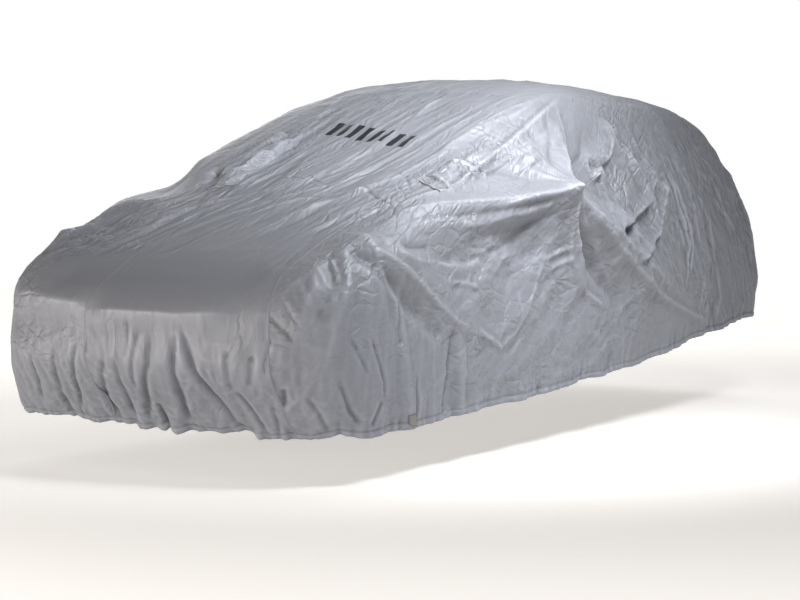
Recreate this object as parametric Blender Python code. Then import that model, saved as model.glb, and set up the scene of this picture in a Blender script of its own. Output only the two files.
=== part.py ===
"""Fitted car cover of silver-coated polyester, draped over a compact five-door car.

The car itself is left out. The cover is hollow and open at its hem. It is shaped in the car's own
frame, with the floor at Z = 0, the nose towards -Y and the car's left side towards +X, and is then
placed so that the world origin is the spot where the car's roof carries the cover.

The taut cloth is an envelope of softly joined faces. Tents over the door mirrors and the wings, and
the ridges and troughs of the cloth, stand out from it along its outward direction.
"""
import math
from typing import NamedTuple

import bmesh
import bpy
import numpy as np

# ---------------------------------------------------------------- driving sizes, metres
SHEET = 0.0015            # thickness of the cloth as modelled
SEAM_GAP = 0.0004         # between two pieces that are sewn together
PATCH_SHEET = 0.0012      # thickness of the hem patch

HEART = (0.0, 0.0, 0.80)  # point from which the reach of every face is measured
SOFTNESS = 20.0           # 1/m, how tightly two faces round into each other
PIVOT_HEIGHT = 0.62       # height of the line from which the cloth's points are cast outwards
FRONT_PIVOT = -1.35       # front end of that line
REAR_PIVOT = 1.25         # rear end of that line
FAN_RADIUS = 0.90         # turns an angle round either end into a length
CAST_REACH = 3.2          # farther than any point of the cloth
CAST_STEPS = 30           # halvings of that reach

ROOF_REST = (0.0, 0.30)   # where the roof carries the cover, in plan

ROWS = 16                 # cells from the hem up to the centre panel's seam
COLUMNS_SIDE = 46         # cells along a side panel
COLUMNS_REAR = 14         # cells along a rear quarter panel
CELLS_ACROSS = 11         # cells across the centre panel
FRONT_DROP = 0.95         # length of the centre panel's seam in front of the side panel's top corner
REAR_DROP = 1.00          # the same at the tail
REAR_SEAM_TOP = 0.95      # where the upright rear seam meets the centre panel's seam, along Y
REAR_SEAM_HEM = 1.28      # where the upright rear seam meets the hem, along Y

POCKET_REFINE = 2         # pocket cells to one cell of its side panel
GRADIENT_STEP = 1e-4      # for the envelope's outward direction
LINE_SAG = 0.12           # most that the cloth bows away from a fold's straight line


class Face(NamedTuple):
    """One face of the taut envelope; a face off the centre line stands on both sides."""

    name: str
    azimuth: float      # degrees, 0 forward, 90 to the side, 180 backward
    elevation: float    # degrees above level
    reach: float        # metres from HEART
    bow_across: float   # 1/m, falls back with the square of X
    bow_along: float    # 1/m, falls back with the square of Y - bow_from
    bow_from: float     # metres


FACES = (
    Face("roof", 180, 88.5, 0.820, 0.10, 0.030, 0.30),
    Face("screen top", 0, 78, 0.895, 0.06, 0, 0),
    Face("screen", 0, 68, 0.792, 0.04, 0, 0),
    Face("bonnet", 0, 76, 0.872, 0.03, 0, 0),
    Face("nose", 0, 55, 1.377, 0.05, 0, 0),
    Face("brow", 0, 28, 1.998, 0.08, 0, 0),
    Face("brow corner", 45, 30, 1.890, 0, 0, 0),
    Face("apron", 0, 0, 2.300, 0.08, 0, 0),
    Face("chin", 0, -38, 2.010, 0.08, 0, 0),
    Face("front 22", 22, 0, 2.290, 0, 0, 0),
    Face("front 45", 45, 0, 2.115, 0, 0, 0),
    Face("front 68", 68, 0, 1.614, 0, 0, 0),
    Face("wing", 60, 50, 1.178, 0, 0, 0),
    Face("side", 90, 0, 0.888, 0, 0.008, 0),
    Face("door top", 90, 14, 0.853, 0, 0.010, 0),
    Face("window", 90, 28, 0.931, 0, 0.012, 0.30),
    Face("roof rail", 90, 58, 1.025, 0, 0.020, 0.35),
    Face("tail roof", 180, 75, 1.146, 0.08, 0, 0),
    Face("tail glass", 180, 50, 1.538, 0.08, 0, 0),
    Face("tail gate", 180, 24, 1.990, 0.10, 0, 0),
    Face("tail bumper", 180, 3, 2.148, 0.10, 0, 0),
    Face("tail tuck", 180, -24, 2.010, 0.10, 0, 0),
    Face("tail top corner", 135, 35, 1.722, 0, 0, 0),
    Face("rear 22", 158, 4, 2.212, 0, 0, 0),
    Face("rear 45", 135, 4, 2.042, 0, 0, 0),
    Face("rear 68", 112, 4, 1.576, 0, 0, 0),
    Face("rear tuck", 135, -30, 1.910, 0, 0, 0),
)


class HemLevel(NamedTuple):
    """Height of the hem at a place along the car."""

    along: float    # metres, Y
    height: float   # metres above the floor


HEM = (
    HemLevel(-2.10, 0.165),
    HemLevel(-1.95, 0.180),
    HemLevel(-1.45, 0.205),
    HemLevel(-1.00, 0.222),
    HemLevel(-0.10, 0.262),
    HemLevel(0.45, 0.300),
    HemLevel(1.05, 0.370),
    HemLevel(1.60, 0.415),
    HemLevel(2.10, 0.430),
)


class SeamPlace(NamedTuple):
    """Where the centre panel's two seams lie, at a length along it from the front hem."""

    along: float   # metres
    left: float    # X of the left seam
    right: float   # X of the right seam; the cover sits askew, shifted to the car's left


SEAMS = (
    SeamPlace(0.0, 0.590, -0.26),
    SeamPlace(0.50, 0.580, -0.24),
    SeamPlace(0.95, 0.560, -0.20),
    SeamPlace(1.90, 0.575, -0.12),
    SeamPlace(2.60, 0.570, -0.16),
    SeamPlace(5.80, 0.56, -0.26),
)


class Ray(NamedTuple):
    """A taut ridge that runs from a tent's tip to a point on the envelope."""

    end: tuple      # X, Y, Z
    spread: float   # half-width at the far end


class Tent(NamedTuple):
    """Cloth held away from the envelope by something under it."""

    name: str
    foot: tuple     # X, Y, Z of the envelope point below the tip
    lift: float     # metres out of the envelope at the tip
    radius: float   # of the cone round the tip
    rays: tuple


RAY_ROOT = 0.15     # half-width of every ray at the tip
CREST_ROUND = 0.03  # radius by which every taut ridge is rounded

TENTS = (
    Tent("left door mirror", (0.79, -0.47, 1.08), 0.185, 0.34, (
        Ray((0.87, 1.15, 0.44), 0.30),
        Ray((0.76, -1.70, 0.93), 0.16),
        Ray((0.66, -0.13, 1.46), 0.16),
        Ray((0.87, -0.20, 0.60), 0.20))),
    Tent("right door mirror", (-0.79, -0.50, 1.08), 0.185, 0.34, (
        Ray((-0.87, 1.10, 0.46), 0.30),
        Ray((-0.76, -1.62, 0.95), 0.18),
        Ray((-0.64, -0.20, 1.47), 0.18),
        Ray((-0.88, -0.55, 0.50), 0.22))),
    Tent("left wing", (0.73, -1.78, 0.90), 0.045, 0.22, (
        Ray((0.87, -0.97, 0.46), 0.20),
        Ray((0.56, -2.19, 0.67), 0.16),
        Ray((0.84, -1.87, 0.52), 0.16))),
    Tent("right wing", (-0.72, -1.82, 0.88), 0.040, 0.22, (
        Ray((-0.87, -1.02, 0.42), 0.20),
        Ray((-0.54, -2.20, 0.66), 0.18),
        Ray((-0.80, -1.98, 0.50), 0.18))),
)


class Fold(NamedTuple):
    """A ridge (height above 0) or a trough (below 0) along a straight line on the envelope."""

    name: str
    start: tuple    # X, Y, Z
    end: tuple      # X, Y, Z
    width: tuple    # half-width at the start and at the end
    height: tuple   # at the start and at the end
    sharp: bool     # True for a creased crest, False for a rounded one


FOLDS = (
    # nose and bonnet
    Fold("bonnet edge, right", (-0.68, -2.14, 0.68), (-0.24, -2.26, 0.66), (0.13, 0.12), (0.018, 0.020), False),
    Fold("bonnet edge, left", (-0.19, -2.27, 0.65), (0.46, -2.23, 0.65), (0.12, 0.12), (0.022, 0.014), False),
    Fold("under the edge, right", (-0.72, -2.10, 0.56), (-0.24, -2.27, 0.54), (0.10, 0.09), (-0.024, -0.020), False),
    Fold("under the edge, left", (-0.19, -2.27, 0.53), (0.36, -2.25, 0.54), (0.09, 0.09), (-0.020, -0.012), False),
    Fold("bonnet hollow", (-0.40, -2.14, 0.77), (0.40, -2.12, 0.77), (0.14, 0.14), (-0.014, -0.014), False),
    Fold("bumper roll", (-0.60, -2.20, 0.44), (0.55, -2.21, 0.43), (0.16, 0.16), (0.018, 0.018), False),
    Fold("apron trough, upright", (0.20, -2.27, 0.58), (0.14, -2.11, 0.21), (0.05, 0.08), (-0.010, -0.035), False),
    Fold("apron trough, slanting", (0.21, -2.27, 0.60), (0.34, -2.09, 0.20), (0.05, 0.08), (-0.012, -0.035), False),
    Fold("apron ridge between", (0.20, -2.27, 0.56), (0.24, -2.10, 0.20), (0.03, 0.07), (0.006, 0.020), False),
    Fold("apron trough 1", (-0.08, -2.27, 0.56), (-0.11, -2.07, 0.18), (0.04, 0.07), (-0.008, -0.028), False),
    Fold("apron trough 2", (-0.26, -2.26, 0.52), (-0.24, -2.08, 0.19), (0.04, 0.07), (-0.006, -0.026), False),
    Fold("apron trough 3", (-0.46, -2.22, 0.50), (-0.48, -2.06, 0.20), (0.04, 0.07), (-0.006, -0.026), False),
    Fold("apron trough 4", (0.53, -2.21, 0.52), (0.50, -2.06, 0.19), (0.05, 0.07), (-0.010, -0.026), False),
    Fold("apron ridge 1", (0.00, -2.27, 0.52), (-0.01, -2.09, 0.19), (0.05, 0.07), (0.004, 0.018), False),
    Fold("apron ridge 2", (-0.36, -2.24, 0.50), (-0.37, -2.08, 0.19), (0.05, 0.07), (0.004, 0.018), False),
    Fold("apron ridge 3", (0.62, -2.18, 0.50), (0.64, -2.06, 0.18), (0.05, 0.08), (0.008, 0.022), False),
    # windscreen and roof
    Fold("screen crest", (0.56, 0.02, 1.55), (0.56, -1.05, 1.22), (0.08, 0.10), (0.010, 0.016), True),
    Fold("screen crest, lower", (0.56, -1.05, 1.22), (0.20, -1.86, 0.91), (0.10, 0.08), (0.016, 0.006), True),
    Fold("screen band", (0.00, -0.10, 1.57), (-0.05, -1.08, 1.22), (0.12, 0.12), (0.010, 0.006), False),
    Fold("screen foot, right", (-0.74, -1.14, 1.08), (-0.30, -1.50, 1.04), (0.26, 0.20), (-0.075, -0.012), False),
    Fold("roof bow", (-0.50, -0.05, 1.55), (0.30, 0.35, 1.61), (0.14, 0.14), (0.006, 0.008), False),
    # left wheel side
    Fold("wing pocket", (0.71, -1.90, 0.86), (0.78, -1.98, 0.74), (0.06, 0.09), (-0.030, -0.022), False),
    Fold("wing roll", (0.76, -1.93, 0.80), (0.80, -2.02, 0.42), (0.06, 0.08), (0.014, 0.018), False),
    Fold("wheel crease", (0.84, -1.86, 0.60), (0.85, -1.84, 0.40), (0.05, 0.06), (-0.014, -0.020), False),
    Fold("wheel ridge", (0.82, -1.72, 0.78), (0.87, -1.66, 0.22), (0.06, 0.08), (0.012, 0.022), False),
    Fold("wheel trough", (0.86, -1.40, 0.52), (0.88, -1.43, 0.21), (0.09, 0.12), (-0.030, -0.030), False),
    Fold("wheel roll", (0.87, -1.30, 0.50), (0.88, -1.29, 0.24), (0.06, 0.07), (0.020, 0.034), False),
    # left door
    Fold("door sweep", (0.88, -1.25, 0.25), (0.88, -0.48, 0.54), (0.14, 0.16), (-0.020, -0.010), False),
    Fold("door sweep crest", (0.88, -1.05, 0.24), (0.88, -0.40, 0.44), (0.12, 0.14), (0.014, 0.008), False),
    Fold("shoulder trough", (0.81, -0.85, 1.02), (0.76, -1.62, 0.96), (0.05, 0.05), (-0.020, -0.008), False),
    Fold("door hollow", (0.84, -0.62, 0.88), (0.87, -1.02, 0.62), (0.18, 0.16), (-0.022, -0.012), False),
    Fold("mirror trough", (0.83, -0.28, 0.90), (0.87, 0.02, 0.62), (0.07, 0.10), (-0.035, -0.014), False),
    # left rear quarter
    Fold("rear crease, upper", (0.71, 0.29, 1.32), (0.77, 0.04, 1.16), (0.07, 0.07), (-0.016, -0.022), False),
    Fold("rear crease, lower", (0.74, 0.73, 1.22), (0.81, 0.42, 0.97), (0.07, 0.08), (-0.018, -0.026), False),
    Fold("rear billow", (0.75, 0.48, 1.20), (0.80, 0.18, 1.00), (0.12, 0.12), (0.024, 0.020), False),
    Fold("rear billow, hind", (0.78, 0.78, 1.06), (0.83, 0.62, 0.86), (0.10, 0.10), (0.016, 0.012), False),
    Fold("rear corner ridge", (0.76, 1.17, 1.12), (0.87, 1.29, 0.44), (0.05, 0.05), (0.006, 0.012), True),
    # tail
    Fold("tail trough 1", (0.35, 2.14, 0.95), (0.30, 2.08, 0.45), (0.06, 0.09), (-0.008, -0.026), False),
    Fold("tail trough 2", (-0.10, 2.18, 1.00), (-0.06, 2.12, 0.45), (0.06, 0.09), (-0.008, -0.026), False),
    Fold("tail trough 3", (-0.52, 2.10, 0.90), (-0.55, 2.02, 0.45), (0.06, 0.09), (-0.008, -0.024), False),
    Fold("tail ridge", (0.12, 2.17, 0.90), (0.12, 2.10, 0.45), (0.06, 0.09), (0.006, 0.018), False),
    # right side
    Fold("right wheel trough", (-0.86, -1.36, 0.56), (-0.88, -1.38, 0.22), (0.09, 0.12), (-0.026, -0.030), False),
    Fold("right wheel roll", (-0.87, -1.22, 0.52), (-0.88, -1.22, 0.24), (0.06, 0.08), (0.016, 0.028), False),
    Fold("right wing roll", (-0.76, -2.00, 0.70), (-0.80, -1.98, 0.22), (0.07, 0.09), (0.010, 0.022), False),
    Fold("right door sweep", (-0.88, -0.95, 0.26), (-0.88, -0.25, 0.56), (0.14, 0.16), (-0.020, -0.010), False),
    Fold("right door hollow", (-0.83, 0.02, 0.92), (-0.87, 0.34, 0.62), (0.14, 0.16), (-0.024, -0.012), False),
    Fold("right rear crease", (-0.74, 0.66, 1.22), (-0.82, 0.40, 0.92), (0.07, 0.09), (-0.018, -0.024), False),
    Fold("right rear billow", (-0.78, 0.95, 1.08), (-0.84, 0.80, 0.80), (0.10, 0.12), (0.018, 0.014), False),
)


class Wave(NamedTuple):
    """One of the uneven waves that the elastic gathers into the hem."""

    length: float   # metres along the hem
    height: float   # metres


GATHERS = (Wave(0.61, 0.006), Wave(0.37, 0.008), Wave(0.23, 0.006))
GATHER_RISE = 0.30        # height above the hem at which the gathers die out
GATHER_TUCK = 0.012       # how far the elastic draws the hem inwards
GATHER_SHIFT = 0.17       # sets the left side's waves off from the right side's
GATHER_TURN = 0.45        # half-width over which the waves run on round the ends


class Pocket(NamedTuple):
    """A door mirror pocket: the cells of the side panel it takes up, and how it lies collapsed."""

    columns: tuple   # first and last grid column in the side panel
    rows: tuple      # first and last grid row
    rise: float      # height of the pouch
    crest: float     # where its crest runs, 0 at the lower edge, 1 at the upper
    slump: float     # fore-and-aft lean of the crest, as a share of the pocket's length


LEFT_POCKET = Pocket((12, 21), (13, 15), 0.035, 0.45, 0.10)
RIGHT_POCKET = Pocket((10, 18), (13, 15), 0.055, 0.55, -0.10)

PATCH_CELL = (6, 0)       # column and row of the side panel that the hem patch lies on
PATCH_INSET = 0.12        # share of the cell left free round the patch
PATCH_GAP = 0.0003        # between the patch and the cloth under it


class Finish(NamedTuple):
    """Plain colour and surface of one piece."""

    color: tuple
    metallic: float
    roughness: float


SILVER = Finish((0.36, 0.37, 0.40, 1.0), 0.35, 0.42)
SILVER_POCKET = Finish((0.40, 0.41, 0.44, 1.0), 0.35, 0.42)
PATCH_GREY = Finish((0.30, 0.29, 0.27, 1.0), 0.0, 0.75)


# ---------------------------------------------------------------- the taut envelope
def direction(azimuth, elevation):
    """Unit vector for an azimuth from the front and an elevation, both in radians."""
    level = np.cos(elevation)
    return np.stack([np.sin(azimuth) * level, -np.cos(azimuth) * level, np.sin(elevation)], -1)


def envelope(points):
    """Signed depth of points in the envelope: below 0 inside, 0 on the taut cloth."""
    x, y = points[..., 0], points[..., 1]
    depths = []
    for face in FACES:
        outward = direction(math.radians(face.azimuth), math.radians(face.elevation))
        bow = face.bow_across * x ** 2 + face.bow_along * (y - face.bow_from) ** 2
        for side in ((1,) if face.azimuth in (0, 180) else (1, -1)):
            depths.append((points - HEART) @ (outward * (side, 1, 1)) - face.reach + bow)
    depths = np.stack(depths)
    deepest = depths.max(axis=0)
    return deepest + np.log(np.exp(SOFTNESS * (depths - deepest)).sum(axis=0)) / SOFTNESS


def outward_at(points):
    """Unit vectors that point out of the envelope."""
    steps = np.eye(3) * GRADIENT_STEP
    slope = np.stack([envelope(points + step) - envelope(points - step) for step in steps], -1)
    return slope / np.linalg.norm(slope, axis=-1, keepdims=True)


def cast(origins, rays):
    """Points where rays that start inside the envelope leave it."""
    near = np.zeros(origins.shape[:-1])
    far = np.full(origins.shape[:-1], CAST_REACH)
    for _ in range(CAST_STEPS):
        middle = (near + far) / 2
        inside = envelope(origins + middle[..., None] * rays) < 0
        near = np.where(inside, middle, near)
        far = np.where(inside, far, middle)
    return origins + ((near + far) / 2)[..., None] * rays


# ---------------------------------------------------------------- tents and folds
def along_line(points, outward, start, end):
    """Share of the way from start to end, and the distance off that line within the cloth."""
    start, end = np.asarray(start), np.asarray(end)
    line = end - start
    share = np.clip((points - start) @ line / (line @ line), 0, 1)
    off = points - (start + share[..., None] * line)
    above = np.clip((off * outward).sum(-1, keepdims=True), -LINE_SAG, LINE_SAG)
    return share, np.linalg.norm(off - above * outward, axis=-1)


def tent_lift(points, outward, tent):
    """How far one tent holds the cloth out: its cone and its rays, joined softly."""
    off = points - np.asarray(tent.foot)
    cone = np.clip(1 - np.linalg.norm(off, axis=-1) / tent.radius, 0, 1)
    total = cone ** 9
    for ray in tent.rays:
        share, gap = along_line(points, outward, tent.foot, ray.end)
        gap = np.hypot(gap, CREST_ROUND) - CREST_ROUND
        spread = RAY_ROOT + (ray.spread - RAY_ROOT) * np.sqrt(share)
        crest = (1 - share) ** 1.15 * np.clip(1 - gap / spread, 0, 1) ** 1.25
        total = total + crest ** 6
    return tent.lift * total ** (1 / 6)


def fold_lift(points, outward, fold):
    """Height of one fold."""
    share, gap = along_line(points, outward, fold.start, fold.end)
    width = fold.width[0] + (fold.width[1] - fold.width[0]) * share
    height = fold.height[0] + (fold.height[1] - fold.height[0]) * share
    nearness = np.clip(1 - gap / width, 0, 1)
    profile = nearness ** 2 if fold.sharp else np.sin(nearness * math.pi / 2) ** 2
    return height * profile


def gather_lift(points):
    """Waves of the hem, where the elastic draws it in."""
    fade = np.clip(1 - (points[..., 2] - hem_height(points[..., 1])) / GATHER_RISE, 0, 1) ** 2
    around = (points[..., 1] + np.sign(points[..., 0]) * GATHER_SHIFT
              + np.arctan2(points[..., 0], GATHER_TURN))
    waves = sum(wave.height * np.sin(2 * math.pi * around / wave.length) for wave in GATHERS)
    return fade * (waves - GATHER_TUCK)


def lift_at(points, outward):
    """How far the cloth stands out of the envelope."""
    lift = gather_lift(points)
    for tent in TENTS:
        lift = lift + tent_lift(points, outward, tent)
    for fold in FOLDS:
        lift = lift + fold_lift(points, outward, fold)
    return lift


# ---------------------------------------------------------------- grids of points on the envelope
def hem_height(y):
    """Height of the hem above the floor."""
    return np.interp(y, [level.along for level in HEM], [level.height for level in HEM])


def hem_cast(origins_plan, rays_plan):
    """Hem points seen level from points on the pivot line."""
    height = np.full(origins_plan.shape[:-1], HEM[0].height)
    for _ in range(3):
        origins = np.concatenate([origins_plan, height[..., None]], -1)
        hit = cast(origins, rays_plan)
        height = hem_height(hit[..., 1])
    return np.concatenate([hit[..., :2], height[..., None]], -1)


def end_tilt(x, pivot, forward):
    """Angle off upright, per X, at which the centre panel meets the hem at one end."""
    origins = np.stack([x, np.full_like(x, pivot)], -1)
    hem = hem_cast(origins, np.array([0.0, forward, 0.0]))
    return np.arctan2(np.abs(hem[..., 1] - pivot), hem[..., 2] - PIVOT_HEIGHT)


def strip_points(station, x):
    """Centre panel points; a station is 0 to 1 round the front, 1 to 2 along, 2 to 3 at the tail."""
    station, x = np.broadcast_arrays(station, x)
    front = end_tilt(x, FRONT_PIVOT, -1.0) * np.clip(1 - station, 0, 1)
    rear = end_tilt(x, REAR_PIVOT, 1.0) * np.clip(station - 2, 0, 1)
    y = FRONT_PIVOT + (REAR_PIVOT - FRONT_PIVOT) * np.clip(station - 1, 0, 1)
    tilt = rear - front
    origins = np.stack([x, y, np.full_like(y, PIVOT_HEIGHT)], -1)
    rays = np.stack([np.zeros_like(y), np.sin(tilt), np.cos(tilt)], -1)
    return cast(origins, rays)


def stations():
    """Stations of the centre panel's grid, and the length along it of each."""
    fine = np.linspace(0, 3, 601)
    middle = strip_points(fine, np.full_like(fine, (SEAMS[0].left + SEAMS[0].right) / 2))
    length = np.concatenate([[0], np.cumsum(np.linalg.norm(np.diff(middle, axis=0), axis=1))])
    top = (fine > 1) & (fine < 2)
    split = np.interp(REAR_SEAM_TOP, middle[top, 1], length[top])
    marks = (0, FRONT_DROP, split, length[-1] - REAR_DROP, length[-1])
    cells = (ROWS, COLUMNS_SIDE, COLUMNS_REAR, ROWS)
    steps = [np.linspace(low, high, count, endpoint=False)
             for low, high, count in zip(marks, marks[1:], cells)]
    along = np.concatenate(steps + [[length[-1]]])
    return np.interp(along, length, fine), along


def seam_lines(along):
    """X of the left and the right seam at lengths along the centre panel."""
    places = [place.along for place in SEAMS]
    left = np.interp(along, places, [place.left for place in SEAMS])
    right = np.interp(along, places, [place.right for place in SEAMS])
    return left, right


def to_round(points):
    """Position round the car, as a length, and elevation seen from the pivot line."""
    x, y, z = np.abs(points[..., 0]), points[..., 1], points[..., 2]
    ahead = y - np.clip(y, FRONT_PIVOT, REAR_PIVOT)
    turn = np.arctan2(np.abs(ahead), x)
    around = np.clip(y, FRONT_PIVOT, REAR_PIVOT) + np.sign(ahead) * FAN_RADIUS * turn
    return np.stack([around, np.arctan2(z - PIVOT_HEIGHT, np.hypot(x, ahead))], -1)


def from_round(place, side):
    """Points on the envelope for positions round the car; side is 1 for left, -1 for right."""
    around, elevation = place[..., 0], place[..., 1]
    y = np.clip(around, FRONT_PIVOT, REAR_PIVOT)
    azimuth = math.pi / 2 + (around - y) / FAN_RADIUS
    rays = direction(azimuth, elevation) * (side, 1, 1)
    origins = np.stack([np.zeros_like(y), y, np.full_like(y, PIVOT_HEIGHT)], -1)
    return cast(origins, rays)


def hem_round(around, side):
    """Hem points for positions round the car."""
    y = np.clip(around, FRONT_PIVOT, REAR_PIVOT)
    azimuth = math.pi / 2 + (around - y) / FAN_RADIUS
    rays = direction(azimuth, np.zeros_like(azimuth)) * (side, 1, 1)
    return hem_cast(np.stack([np.zeros_like(y), y], -1), rays)


def side_grid(seam, side):
    """Grid of a whole side, first index from the front, second from the hem up, inside its seam."""
    count = COLUMNS_SIDE + COLUMNS_REAR
    left_edge = seam[:ROWS + 1]
    top_edge = seam[ROWS:ROWS + count + 1]
    right_edge = seam[ROWS + count:][::-1]
    starts = (to_round(left_edge[0])[0], REAR_SEAM_HEM, to_round(right_edge[0])[0])
    around = np.concatenate([np.linspace(starts[0], starts[1], COLUMNS_SIDE, endpoint=False),
                             np.linspace(starts[1], starts[2], COLUMNS_REAR + 1)])
    hem_edge = hem_round(around, side)
    hem_edge[0], hem_edge[-1] = left_edge[0], right_edge[0]
    left, right, top, hem = (to_round(edge) for edge in (left_edge, right_edge, top_edge, hem_edge))
    u = np.concatenate([np.arange(COLUMNS_SIDE) / COLUMNS_SIDE * COLUMNS_SIDE,
                        COLUMNS_SIDE + np.arange(COLUMNS_REAR + 1)])[:, None, None] / count
    v = (np.arange(ROWS + 1) / ROWS)[None, :, None]
    place = ((1 - v) * hem[:, None] + v * top[:, None] + (1 - u) * left[None] + u * right[None]
             - (1 - u) * (1 - v) * left[0] - u * (1 - v) * right[0]
             - (1 - u) * v * left[-1] - u * v * right[-1])
    grid = from_round(place, side)
    grid[:, 0], grid[:, -1], grid[0], grid[-1] = hem_edge, top_edge, left_edge, right_edge
    return grid


def sideways(line, outward, towards):
    """Unit vectors within the cloth, square to a line of points, on the side of towards."""
    run = np.gradient(line, axis=0)
    across = np.cross(run, outward)
    across /= np.linalg.norm(across, axis=-1, keepdims=True)
    return across * np.sign((across * (towards - line)).sum(-1, keepdims=True))


class Cloth:
    """A grid of cloth: its outer points and the direction of its thickness."""

    def __init__(self, base):
        self.outward = outward_at(base)
        self.points = base + self.outward * lift_at(base, self.outward)[..., None]
        self.cut = np.zeros((base.shape[0] - 1, base.shape[1] - 1), bool)

    def part(self, first, last):
        """The columns from first to last as a cloth of their own."""
        piece = object.__new__(Cloth)
        piece.outward = self.outward[first:last + 1].copy()
        piece.points = self.points[first:last + 1].copy()
        piece.cut = self.cut[first:last].copy()
        return piece

    def draw_back(self, index, inner):
        """Move the edge at index by half the seam gap towards the inner points; returns the move."""
        line = self.points[index].copy()
        move = sideways(line, self.outward[index], self.points[inner]) * SEAM_GAP / 2
        self.points[index] = line + move
        return move

    def set_seam(self, seam):
        """Lay the front, top and rear edges on the points of a seam."""
        top = len(seam) - ROWS
        self.points[0] = seam[:ROWS + 1]
        self.points[:, -1] = seam[ROWS:top]
        self.points[-1] = seam[top - 1:][::-1]


# ---------------------------------------------------------------- solids
def cloth_material(name, finish):
    """Principled material with the piece's plain colour."""
    material = bpy.data.materials.new(name)
    material.use_nodes = True
    surface = material.node_tree.nodes["Principled BSDF"]
    surface.inputs["Base Color"].default_value = finish.color
    surface.inputs["Metallic"].default_value = finish.metallic
    surface.inputs["Roughness"].default_value = finish.roughness
    return material


def shorter_diagonal(cell):
    """Corner, 0 or 1 counted round the cell, at which its shorter diagonal starts."""
    rising = np.linalg.norm(cell[1, 1] - cell[0, 0])
    falling = np.linalg.norm(cell[0, 1] - cell[1, 0])
    return 0 if rising <= falling else 1


def add_sheet(name, outer, inner, cut, finish, carrier):
    """Closed sheet between two grids of points, without the cells that are cut out."""
    mesh = bmesh.new()
    top = [[mesh.verts.new(point) for point in line] for line in outer]
    under = [[mesh.verts.new(point) for point in line] for line in inner]
    kept = ~cut
    columns, rows = kept.shape

    def filled(i, j):
        return 0 <= i < columns and 0 <= j < rows and kept[i, j]

    for i in range(columns):
        for j in range(rows):
            if not kept[i, j]:
                continue
            corners = ((i, j), (i + 1, j), (i + 1, j + 1), (i, j + 1))
            first = shorter_diagonal(outer[i:i + 2, j:j + 2])
            for turn in (0, 2):
                (ia, ja), (ib, jb), (ic, jc) = (corners[(first + turn + k) % 4] for k in range(3))
                mesh.faces.new((top[ia][ja], top[ib][jb], top[ic][jc]))
                mesh.faces.new((under[ic][jc], under[ib][jb], under[ia][ja]))
            neighbours = ((i, j - 1), (i + 1, j), (i, j + 1), (i - 1, j))
            for k, beside in enumerate(neighbours):
                if filled(*beside):
                    continue
                (ia, ja), (ib, jb) = corners[k], corners[(k + 1) % 4]
                mesh.faces.new((under[ia][ja], under[ib][jb], top[ib][jb]))
                mesh.faces.new((under[ia][ja], top[ib][jb], top[ia][ja]))
    for vertex in [vertex for vertex in mesh.verts if not vertex.link_faces]:
        mesh.verts.remove(vertex)
    bmesh.ops.recalc_face_normals(mesh, faces=mesh.faces)
    data = bpy.data.meshes.new(name)
    mesh.to_mesh(data)
    mesh.free()
    data.materials.append(cloth_material(name, finish))
    sheet = bpy.data.objects.new(name, data)
    sheet.parent = carrier
    bpy.context.scene.collection.objects.link(sheet)
    return sheet


def add_cloth(name, cloth, finish, carrier):
    """Solid of a cloth, its thickness laid inwards."""
    inner = cloth.points - cloth.outward * SHEET
    return add_sheet(name, cloth.points, inner, cloth.cut, finish, carrier)


def cut_pocket(panel, pocket):
    """Take the pocket's cells out of its panel; returns the pocket's own cloth."""
    (i0, i1), (j0, j1) = pocket.columns, pocket.rows
    points = panel.points[i0:i1 + 1, j0:j1 + 1].copy()
    outward = panel.outward[i0:i1 + 1, j0:j1 + 1].copy()
    centre = points.mean(axis=(0, 1))
    edge = np.ones(points.shape[:2], bool)
    edge[1:-1, 1:-1] = False
    away = points - centre
    away -= (away * outward).sum(-1, keepdims=True) * outward
    away /= np.linalg.norm(away, axis=-1, keepdims=True)
    panel.cut[i0:i1, j0:j1] = True
    panel.points[i0:i1 + 1, j0:j1 + 1][edge] += (away * SEAM_GAP)[edge]
    points[edge] -= (away * SEAM_GAP)[edge]
    return pouch(points, outward, pocket)


def pouch(points, outward, pocket):
    """Refine the pocket's grid and raise it into a collapsed pouch whose edge stays down."""
    def refine(values, axis):
        old = np.arange(values.shape[axis])
        new = np.linspace(0, old[-1], old[-1] * POCKET_REFINE + 1)
        low = np.clip(new.astype(int), 0, old[-1] - 1)
        share = (new - low).reshape([-1 if k == axis else 1 for k in range(3)])
        return np.take(values, low, axis) * (1 - share) + np.take(values, low + 1, axis) * share

    points, outward = (refine(refine(values, 0), 1) for values in (points, outward))
    u = np.linspace(0, 1, points.shape[0])[:, None]
    v = np.linspace(0, 1, points.shape[1])[None, :]
    crest = pocket.crest + pocket.slump * np.cos(math.pi * u)
    across = np.where(v < crest, v / crest, (1 - v) / (1 - crest))
    rise = pocket.rise * np.sin(math.pi * u) ** 0.6 * np.sin(across * math.pi / 2)
    cloth = object.__new__(Cloth)
    cloth.points = points + outward * rise[..., None]
    cloth.outward = outward
    cloth.cut = np.zeros((points.shape[0] - 1, points.shape[1] - 1), bool)
    return cloth


def add_patch(panel, carrier):
    """Square patch on one cell at the hem, parallel to that cell's two facets."""
    i, j = PATCH_CELL
    corners = panel.points[i:i + 2, j:j + 2]
    outward = panel.outward[i:i + 2, j:j + 2].mean(axis=(0, 1))
    ends = (corners[0, 0], corners[1, 1]), (corners[1, 0], corners[0, 1])
    middle = sum(ends[shorter_diagonal(corners)]) / 2
    seat = corners + (middle - corners) * PATCH_INSET + outward * PATCH_GAP
    top = seat + outward * PATCH_SHEET
    return add_sheet("hem_patch", top, seat, np.zeros((1, 1), bool), PATCH_GREY, carrier)


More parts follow.
